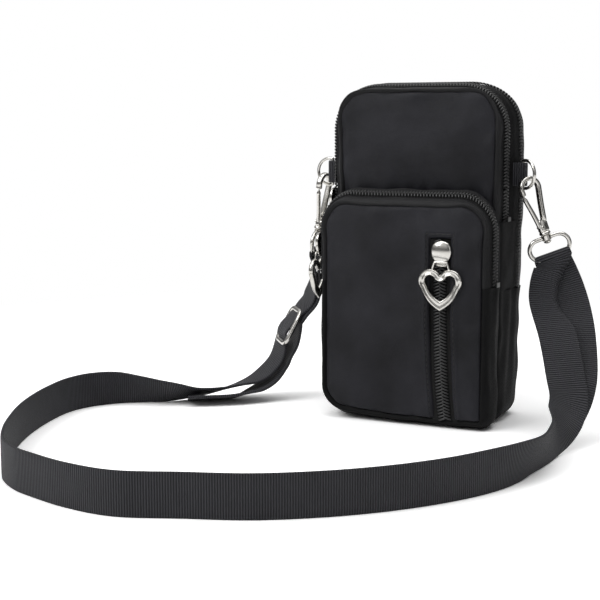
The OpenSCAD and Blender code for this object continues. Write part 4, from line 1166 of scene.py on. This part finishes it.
# %% [markdown]
# ## Tabs, D rings and clasps
#
# The clasps are placed exactly as in the CAD: from the point where the hook grips the D ring.

# %% Hardware
TAB_X, TAB_Y, TAB_Z = 55.6, MIDDLE_Y + 0.8, 135.5
RING_HALF, RING_ARM, RING_WIRE, GRIP = 7.5, 2.2, 0.9, 5.6


def half_circle(x, radius, count):
    return [(x + radius * math.cos(t), 0, radius * math.sin(t))
        for t in np.linspace(-math.pi / 2, math.pi / 2, count)]


def d_ring_shape():
    keys = [(0, 0, z) for z in (RING_HALF, RING_HALF - 1.2, 1.2 - RING_HALF, -RING_HALF)]
    line = smooth_closed(keys + half_circle(RING_ARM, RING_HALF, 26), 2)
    return tube(line, RING_WIRE, Y_AXIS, closed=True)


def grip_point(side, turn):
    angle = math.radians(turn)
    return np.array([side * TAB_X + GRIP * math.cos(angle), TAB_Y + GRIP * math.sin(angle),
        TAB_Z - math.sqrt(RING_HALF ** 2 - (GRIP - RING_ARM) ** 2)])


HOOK_LEN, NOSE, NOSE_PLAY = 33.6, 5.5, 0.8
# For each clasp: its turn, the point where it grips, the turn of its D ring, its side and its swivel.
CLASPS = {
    "right": (turn_matrix("z", 24) @ turn_matrix("y", -20), grip_point(1, -38), -38, 1, 25),
    "left": (turn_matrix("y", 7) @ turn_matrix("z", 96), grip_point(-1, 170), 170, -1, -15),
}


def hook_shape():
    angles = np.radians(np.linspace(-14, 194, 40))
    arc = [(NOSE * math.cos(t), 0, HOOK_LEN + NOSE * math.sin(t)) for t in angles]
    arc += [(-NOSE, 0, HOOK_LEN - 2.1), (-NOSE - 0.1, 0, HOOK_LEN - 3.0)]
    spine = round_line([(1.6, 0, 12.0), (2.1, 0, 16.0), (3.4, 0, 23.5)] + arc, 1)
    run = run_length(spine)
    loop = bar(spine, 1.3 - 0.12 * np.clip((run - run[-1] + 9) / 9, 0, 1), 1.75)
    foot_line = round_line([(0.1, 0, 8.7), (0.1, 0, 10.5), (0.2, 0, 13.0), (0.5, 0, 15.4)], 2)
    foot = bar(foot_line, np.linspace(3.1, 2.8, len(foot_line)), 1.85, power=3.6, taper=0.8)
    right_foot = bar([(1.1, 0, 12.0), (1.4, 0, 14.5), (1.9, 0, 18.0)], 1.35, 1.75)
    collar = lathe([(0.2, 7.3), (2.6, 7.35), (3.05, 7.7), (3.1, 8.2), (2.9, 8.8), (2.5, 9.1), (0.2, 9.2)])
    shank = lathe([(0.1, 2.2), (1.3, 2.4), (2.0, 3.0), (2.15, 3.5), (1.8, 3.85), (1.15, 3.9), (1.15, 7.4)])
    return join(loop, foot, right_foot, collar, shank)


def gate_shape():
    keys = [(-1.6, 0, 10.9), (-1.9, 0, 12.5), (-3.2, 0, 20.0), (-5.0, 0, 27.5), (-5.4, 0, 30.4)]
    spine = round_line(keys, 2)
    half = np.interp(np.linspace(0, 1, len(spine)), [0, 0.15, 0.5, 1], [1.15, 1.3, 1.2, 1.1])
    return bar(spine, half, 1.0, power=3.0)


def rivet_shape():
    profile = [(0.1, -2.5), (0.6, -2.45), (0.85, -2.2), (0.85, 2.2), (0.6, 2.45), (0.1, 2.5)]
    points, faces = lathe(profile, sides=18)
    return points[:, [0, 2, 1]] * [1, 1, -1] + [-1.6, 0, 11.75], faces


SWIVEL_HALF, SWIVEL_ROUND, SWIVEL_WIRE = 12.3, 6.8, 1.2


def swivel_shape():
    right_arc = half_circle(SWIVEL_HALF - SWIVEL_ROUND, SWIVEL_ROUND - SWIVEL_WIRE, 22)
    left_arc = [(-x, y, -z) for x, y, z in right_arc]
    ring = tube(smooth_closed(right_arc + left_arc, 1), SWIVEL_WIRE, Y_AXIS, closed=True)
    boss = lathe([(1.25, 4.0), (2.3, 4.05), (2.65, 4.4), (2.65, 6.8), (2.3, 7.15), (1.25, 7.2)])
    return join(ring, boss)


print("a hook is", HOOK_LEN + NOSE, "mm high, and a D ring", 2 * RING_HALF, "mm")

# %% [markdown]
# A clasp is hung from its grip point. Its hook, gate and rivet share the swivel's turn, and its lower ring
# stays with the strap.

# %% Clasps in place
for word, (turn, grip, ring_turn, side, swivel) in CLASPS.items():
    ring = placed(d_ring_shape(), turn_matrix("z", ring_turn), (side * TAB_X, TAB_Y, TAB_Z))
    metal(f"d_ring_wire_{word}", ring, f"d_ring_{word}", [f"d_ring_{word}"])
    centre = grip + turn @ np.array([0, 0, -HOOK_LEN - NOSE_PLAY])
    hook_turn = turn @ turn_matrix("z", swivel)
    for part, shape, body, stands in [
            ("hook", hook_shape(), "hook", ["hook"]),
            ("gate", gate_shape(), "gate", ["gate"]),
            ("rivet", rivet_shape(), "hook", ["gate_pin", "gate_spring"])]:
        metal(f"clasp_{part}_{word}", placed(shape, hook_turn, centre), f"{body}_{word}",
            [f"{node}_{word}" for node in stands])
    metal(f"swivel_wire_{word}", placed(swivel_shape(), turn, centre), "pouch", [f"swivel_ring_{word}"])

# %% [markdown]
# ## Webbing
#
# A ribbon is a thin rounded strip along a smooth route. The last three numbers of each route point say which
# way its width points. The routes are those of the CAD source.

# %% Ribbon helper
STRAP_W, STRAP_T = 20.0, 1.6


def smooth_route(route, step=2.0):
    """A Catmull-Rom line through the route, with points about a step apart."""
    route = np.asarray(route, float)
    padded = np.concatenate([route[:1], route, route[-1:]])
    fine = []
    for i in range(len(route) - 1):
        p0, p1, p2, p3 = padded[i:i + 4]
        count = max(2, int(round(np.linalg.norm(p2[:3] - p1[:3]) / step)))
        for t in np.arange(count) / count:
            fine.append(0.5 * (2 * p1 + (p2 - p0) * t + (2 * p0 - 5 * p1 + 4 * p2 - p3) * t ** 2
                + (3 * p1 - p0 - 3 * p2 + p3) * t ** 3))
    fine.append(route[-1])
    return np.array(fine)


def right_curl(line):
    """How far the right edge is rolled back, from 0 to 1: only under the right ring."""
    return smooth_step(line[:, 2], 52.0, 72.0) * smooth_step(-line[:, 2], -90.5, -84.0) * (line[:, 0] > 0)


def left_gather(line):
    """How far the near edge is bunched towards the middle, from 0 to 1: only at the left ring."""
    return smooth_step(line[:, 2], 76.0, 88.0) * (line[:, 0] < 0)


def strap_section(half, t):
    """A flat section with soft edges. Half is half the width and t half the thickness."""
    face = [(s * (half - 0.35), t * (1 - 0.12 * abs(s) ** 8)) for s in np.linspace(-1, 1, 15)]
    edge = [(half - 0.08, t * 0.62), (half, 0.0), (half - 0.08, -t * 0.62)]
    upper = np.array(face + edge)
    return np.concatenate([upper, -upper])


CURL_IN, CURL_BACK, CURL_SHIFT, GATHER = 4.6, 6.0, 2.2, 0.42


def ribbon(name, fine, stands_for, width=STRAP_W, thick=STRAP_T, start=0.0, curl=None, gather=None):
    line = fine[:, :3]
    along = unit(np.gradient(line, axis=0))
    across = unit(fine[:, 3:6] - along * np.sum(fine[:, 3:6] * along, axis=1, keepdims=True))
    out = np.cross(along, across)
    section = strap_section(width / 2, thick / 2)
    points, faces, uv = sweep(line, across, out, section)
    side = np.tile(section[:, 0], len(line))

    def every(values):
        return np.repeat(values, len(section), axis=0)

    if curl is not None:
        share = every(curl(line))
        over = np.clip(-side - 1.0, 0, None) / (width / 2 - 1.0)
        backward = every(out) * np.sign(every(out)[:, 1])[:, None]
        points = points + every(across) * (share * CURL_IN * over ** 2)[:, None]
        points = points + backward * (share * CURL_BACK * over ** 1.5)[:, None]
        points[:, 0] -= CURL_SHIFT * share
    if gather is not None:
        near = np.clip(-every(across[:, 1]) * side, 0, None)
        points = points + np.array(Y_AXIS) * (near * GATHER * every(gather(line)))[:, None]
    uv = uv + [start, 0]
    return make(name, keep_up(points), faces, WEBBING, "pouch", stands_for, "webbing", uv, sharp=50), line


print("the webbing's section has", len(strap_section(STRAP_W / 2, STRAP_T / 2)), "points")

# %% [markdown]
# The long webbing runs from the left swivel ring to the floor, round the loop and up to the right ring. On
# the floor it stands on its edge, so there only the place of each point is listed.

# %% The strap's routes
ON_EDGE = (10, 0, 0, 1)
LOOP = [(-178.6, -62), (-182, -80), (-178.5, -104), (-172, -128), (-163.5, -150), (-151.5, -174),
    (-142, -190), (-131, -205), (-117.5, -215.5), (-104, -221.5), (-80, -229), (-55, -231), (-28, -222),
    (0, -212), (26, -196), (48, -177), (66, -156), (79, -135)]
IN_RING = (-0.8585, -0.3822, -0.342)
STRAP_ROUTE = [
    (-68.05, 8.85, 89.37, 0.104, -0.995, -0.013), (-68.42, 8.85, 86.4, 0.104, -0.995, -0.013),
    (-67, 8.8, 76, 0.45, -0.89, 0), (-70, 8, 62, 0.68, -0.73, 0), (-76, 7.8, 54.5, 0.64, -0.77, 0),
    (-81, 7.5, 48.5, 0.6, -0.8, 0), (-86.6, 7.2, 41.5, 0.62, -0.78, 0), (-87.4, 7, 36, 0.68, -0.73, 0),
    (-90.6, 5, 23.5, 0.72, -0.69, 0), (-98.6, 0, 14, 0.68, -0.73, -0.04), (-109, -7, 9, 0.42, -0.9, 0.1),
    (-119, -17, 6.4, 0.37, -0.87, 0.25), (-129.5, -27.5, 5.8, 0.35, -0.79, 0.42),
    (-140, -37, 7.4, 0.29, -0.64, 0.7), (-153.8, -43.2, 8.9, 0.2, -0.47, 0.86),
    (-168, -50, 10, 0.08, -0.2, 0.98), *[place + ON_EDGE for place in LOOP], (87.3, -116, 10, 0.15, 0, 1),
    (91.6, -98, 10, 0.3, 0, 1), (92.6, -79, 10, 0.12, 0, 1), (92.2, -63, 10.3, -0.1, 0, 1),
    (92.5, -50, 13, -0.5, -0.1, 0.8), (92.6, -39.5, 17.5, -0.8, -0.3, 0.38),
    (92, -32, 24.5, -0.88, -0.38, 0.12), (88.6, -26, 34, -0.92, -0.38, 0),
    (84.4, -19, 46, -0.93, -0.37, -0.04), (79.3, -10.5, 58, -0.92, -0.37, -0.12),
    (75.4, -2.5, 69, -0.9, -0.37, -0.2), (74.56, 2.81, 77.4, -0.88, -0.38, -0.28),
    (75.61, 6.78, 84.94, *IN_RING), (74.32, 8.18, 88.97, *IN_RING), (73.45, 8.12, 91.23, *IN_RING),
]
FLAP_ROUTE = [
    (71.66, 12.14, 91.24, *IN_RING), (72.6, 12.56, 88.42, *IN_RING),
    (76, 12.3, 82, -0.87, -0.38, -0.3), (80, 10, 74.5, -0.89, -0.38, -0.22),
    (84.5, 5, 65, -0.91, -0.38, -0.14), (88.6, -2.5, 55, -0.93, -0.37, -0.08),
    (91.6, -10.5, 45, -0.93, -0.37, 0), (93.8, -18.5, 36, -0.93, -0.37, 0.05),
    (94.5, -25, 29, -0.9, -0.37, 0.12), (93.6, -28.6, 22.5, -0.86, -0.37, 0.2),
    (91.6, -32.0, 16.5, -0.84, -0.36, 0.25),
]
TAIL_ROUTE = [
    (-63.91, 9.29, 88.87, -0.104, 0.995, 0.013), (-64.27, 9.29, 85.89, -0.104, 0.995, 0.013),
    (-64.6, 8.8, 75, -0.45, 0.89, 0), (-67.6, 8, 62, -0.68, 0.73, 0), (-73.6, 7, 52.8, -0.64, 0.77, 0),
    (-76.6, 7, 48, -0.6, 0.8, 0), (-77.6, 7, 42, -0.59, 0.81, 0), (-78.6, 7, 37, -0.59, 0.81, 0),
    (-80.2, 7, 32.5, -0.59, 0.81, 0), (-84, 6.8, 26.5, -0.66, 0.75, 0), (-87.2, 5.5, 20, -0.68, 0.73, 0),
    (-92, 1, 12, -0.68, 0.73, 0), (-98.5, -6, 6.6, -0.58, 0.8, -0.04), (-107, -16.5, 3.8, -0.36, 0.9, -0.26),
    (-119, -25.4, 3.5, -0.36, 0.86, -0.28), (-130.4, -32, 3.4, -0.36, 0.86, -0.28),
]
print("route points:", len(STRAP_ROUTE), len(FLAP_ROUTE), len(TAIL_ROUTE))

# %% [markdown]
# The end flap and the tail are each turned over a swivel ring's lower bar before they follow their route.

# %% The strap
LOWER_BAR, WRAP_R = 5.6, 2.05


def wrap_over(word, first_side, route):
    """Half a turn of webbing over the lower bar of a swivel ring, joined to the route that follows it."""
    turn, grip = CLASPS[word][:2]
    along_bar, face, up = turn.T
    centre = grip + turn @ np.array([0, 0, -HOOK_LEN - NOSE_PLAY - LOWER_BAR])
    along_bar = along_bar * np.sign(along_bar @ np.asarray(route[0][3:6], float))
    half_turn = []
    for t in np.linspace(0, math.pi, 9):
        place = centre + (face * first_side * math.cos(t) + up * math.sin(t)) * WRAP_R
        half_turn.append((*place, *along_bar))
    return half_turn + route[1:]


strap, strap_line = ribbon("strap_long", smooth_route(STRAP_ROUTE), ["strap_webbing"], curl=right_curl,
    gather=left_gather)
flap_fine = smooth_route(wrap_over("right", -1, FLAP_ROUTE), 1.5)
flap, _ = ribbon("strap_flap", flap_fine, ["strap_end_flap"], start=40)
tail_fine = smooth_route(wrap_over("left", 1, TAIL_ROUTE), 1.5)
tail, _ = ribbon("strap_free_tail", tail_fine, ["strap_tail"], start=20, gather=left_gather)

# %% [markdown]
# The adjuster is a frame of flat wire with a round bar across its middle.

# %% The adjuster
ADJUSTER_PLACE = (-82.4, 6.0, 44.2)
ADJUSTER_TURN = [(0.716, -0.59, 0.376), (0.522, 0.81, 0.275), (-0.467, 0.0, 0.884)]
HALF_WIDE, HALF_LONG, FRAME_WIRE = 11.6, 10.4, 1.6
corners = [(-1, -1), (0, -1), (1, -1), (1, 0), (1, 1), (0, 1), (-1, 1), (-1, 0)]
frame_keys = [(0, a * HALF_WIDE, b * HALF_LONG) for a, b in corners]
frame_wire = tube(smooth_closed(frame_keys), FRAME_WIRE, (1, 0, 0), closed=True, flat=0.85)
frame_piece = metal("adjuster_wire_frame", placed(frame_wire, ADJUSTER_TURN, ADJUSTER_PLACE), "pouch",
    ["adjuster_frame"])
cross = tube([(0, y, 0) for y in (-10.6, -5, 0, 5, 10.6)], 1.2, (1, 0, 0))
pin_piece = metal("adjuster_bar", placed(cross, ADJUSTER_TURN, ADJUSTER_PLACE), "pouch", ["adjuster_pin"])

# %% [markdown]
# The tabs are loops of the same webbing round the bars of the D rings.

# %% Ring tabs
TAB_LOOP, TAB_TURN = 1.9, 1.85
for side, word in ((1, "right"), (-1, "left")):
    ends = [HALF_W - 1.5, 53.0]
    loop = [(side * x, TAB_Y - TAB_LOOP, TAB_Z, 0, 0, 1) for x in ends]
    for t in np.linspace(-math.pi / 2, math.pi / 2, 9):
        x, y = TAB_X + TAB_TURN * math.cos(t), TAB_Y + TAB_TURN * math.sin(t)
        loop.append((side * x, y, TAB_Z, 0, 0, 1))
    loop += [(side * x, TAB_Y + TAB_LOOP, TAB_Z, 0, 0, 1) for x in ends[::-1]]
    ribbon(f"tab_webbing_{word}", smooth_route(loop, 0.8), [f"ring_tab_{word}"], width=12.6, thick=1.2)

# %% [markdown]
# ## Stitches
#
# Short capsules of thread, laid end to end with small gaps, follow the seam round the slot.

# %% Stitches
STITCH, STITCH_GAP = 2.2, 0.9
BOX_OUT, BOX_TOP = 7.6, SLOT_TOP + 2.4
box_z = np.linspace(POCKET_LOW + 3, BOX_TOP, 60)
left_line = as_points(slot_middle(box_z) - BOX_OUT, 0.0, box_z)
right_line = as_points(slot_middle(box_z) + BOX_OUT, 0.0, box_z)
top_line = as_points(np.linspace(left_line[-1, 0], right_line[-1, 0], 16)[1:-1], 0.0, BOX_TOP)
box_line = np.concatenate([left_line, top_line, right_line[::-1]])
box_line[:, 1] = POCKET_Y - face_push(box_line[:, 0], box_line[:, 2]) - 0.05
wanted = np.arange(STITCH / 2, run_length(box_line)[-1], STITCH + STITCH_GAP)
one_stitch = capsule_template((-STITCH / 2, 0, 0), (STITCH / 2, 0, 0), 0.22, 0.12, rings=4, sides=6)
points, faces, _ = copies_along(box_line, TO_FRONT, None, wanted, one_stitch)
make("slot_stitches", points, faces, THREAD, "pouch", (), "zip_tape", sharp=70)
print("stitches round the slot:", len(wanted))

# %% [markdown]
# ## Zip stops
#
# Small black clips close the ends of the side zips. The CAD's own pieces are good enough, and only get the
# coil's material.

# %% CAD pieces that stay
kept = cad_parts["zip_stops"]
for material_slot in kept.material_slots:
    material_slot.material = COIL
print("kept as it is:", kept.name)

# %% [markdown]
# ## Studio
#
# A white floor that keeps the shadow, a white surround for the camera alone, and large soft lights. The
# black cloth is lit at a plain level, so that its own grey is what shows.

# %% Floor
def floor_plane(size):
    mesh = bpy.data.meshes.new("floor")
    corners = [(-size, -size, 0), (size, -size, 0), (size, size, 0), (-size, size, 0)]
    mesh.from_pydata(corners, [], [(0, 1, 2, 3)])
    made = bpy.data.objects.new("floor", mesh)
    scene.collection.objects.link(made)
    g = material_graph("white floor")
    camera_ray = g.node("ShaderNodeLightPath", out="Is Camera Ray")
    colour = g.mix(g.noise(3.0), grey(0.95), grey(1.0))
    reach = g.node("ShaderNodeVectorMath", {"operation": "LENGTH"}, {0: g.place()}, out=1)
    far = g.ramp(reach, 0.25, 0.55, 0.0, 1.0)
    near_white = g.node("ShaderNodeBsdfDiffuse", {}, {"Color": grey(1.35)})
    far_white = g.node("ShaderNodeEmission", {}, {"Color": grey(1.0), "Strength": 1.0})
    bounced = g.node("ShaderNodeBsdfDiffuse", {}, {"Color": colour})
    seen = g.mix_shaders(far, near_white, far_white)
    mesh.materials.append(g.finish(g.mix_shaders(camera_ray, bounced, seen)))


FLOOR_HALF = 6.0
floor_plane(FLOOR_HALF)
print("floor half width in metres:", FLOOR_HALF)

# %% [markdown]
# The surround is brighter overhead and darker on the right, which gives the metal something to mirror.

# %% Surround and lights
def surround():
    scene.world = bpy.data.worlds.new("studio")
    g = Graph(scene.world)
    camera_ray = g.node("ShaderNodeLightPath", out="Is Camera Ray")
    way = g.place("Generated")
    strength = g.ramp(g.part(way, 2), 0.05, 0.55, 0.1, 0.6) * g.ramp(g.part(way, 0), 0.0, 0.8, 1.0, 0.25)
    soft = g.node("ShaderNodeBackground", {}, {"Color": grey(1.0), "Strength": strength})
    white = g.node("ShaderNodeBackground", {}, {"Color": grey(1.0), "Strength": 1.0})
    g.finish(g.mix_shaders(camera_ray, soft, white), "ShaderNodeOutputWorld")


def softbox(name, place, target, size, power):
    data = bpy.data.lights.new(name, "AREA")
    data.shape = "RECTANGLE"
    data.size, data.size_y = size
    data.energy = power
    made = bpy.data.objects.new(name, data)
    made.location = place
    made.rotation_euler = (Vector(target) - Vector(place)).to_track_quat("-Z", "Y").to_euler()
    scene.collection.objects.link(made)


scene.view_settings.view_transform = "Standard"
surround()
softbox("key", (-0.75, -0.9, 1.15), (0, -0.02, 0.08), (0.9, 0.9), 12)
softbox("top", (0.15, 0.1, 1.5), (0, -0.05, 0), (1.4, 1.4), 12)
softbox("right", (1.2, -0.5, 0.5), (0, 0, 0.08), (0.6, 0.9), 0.8)
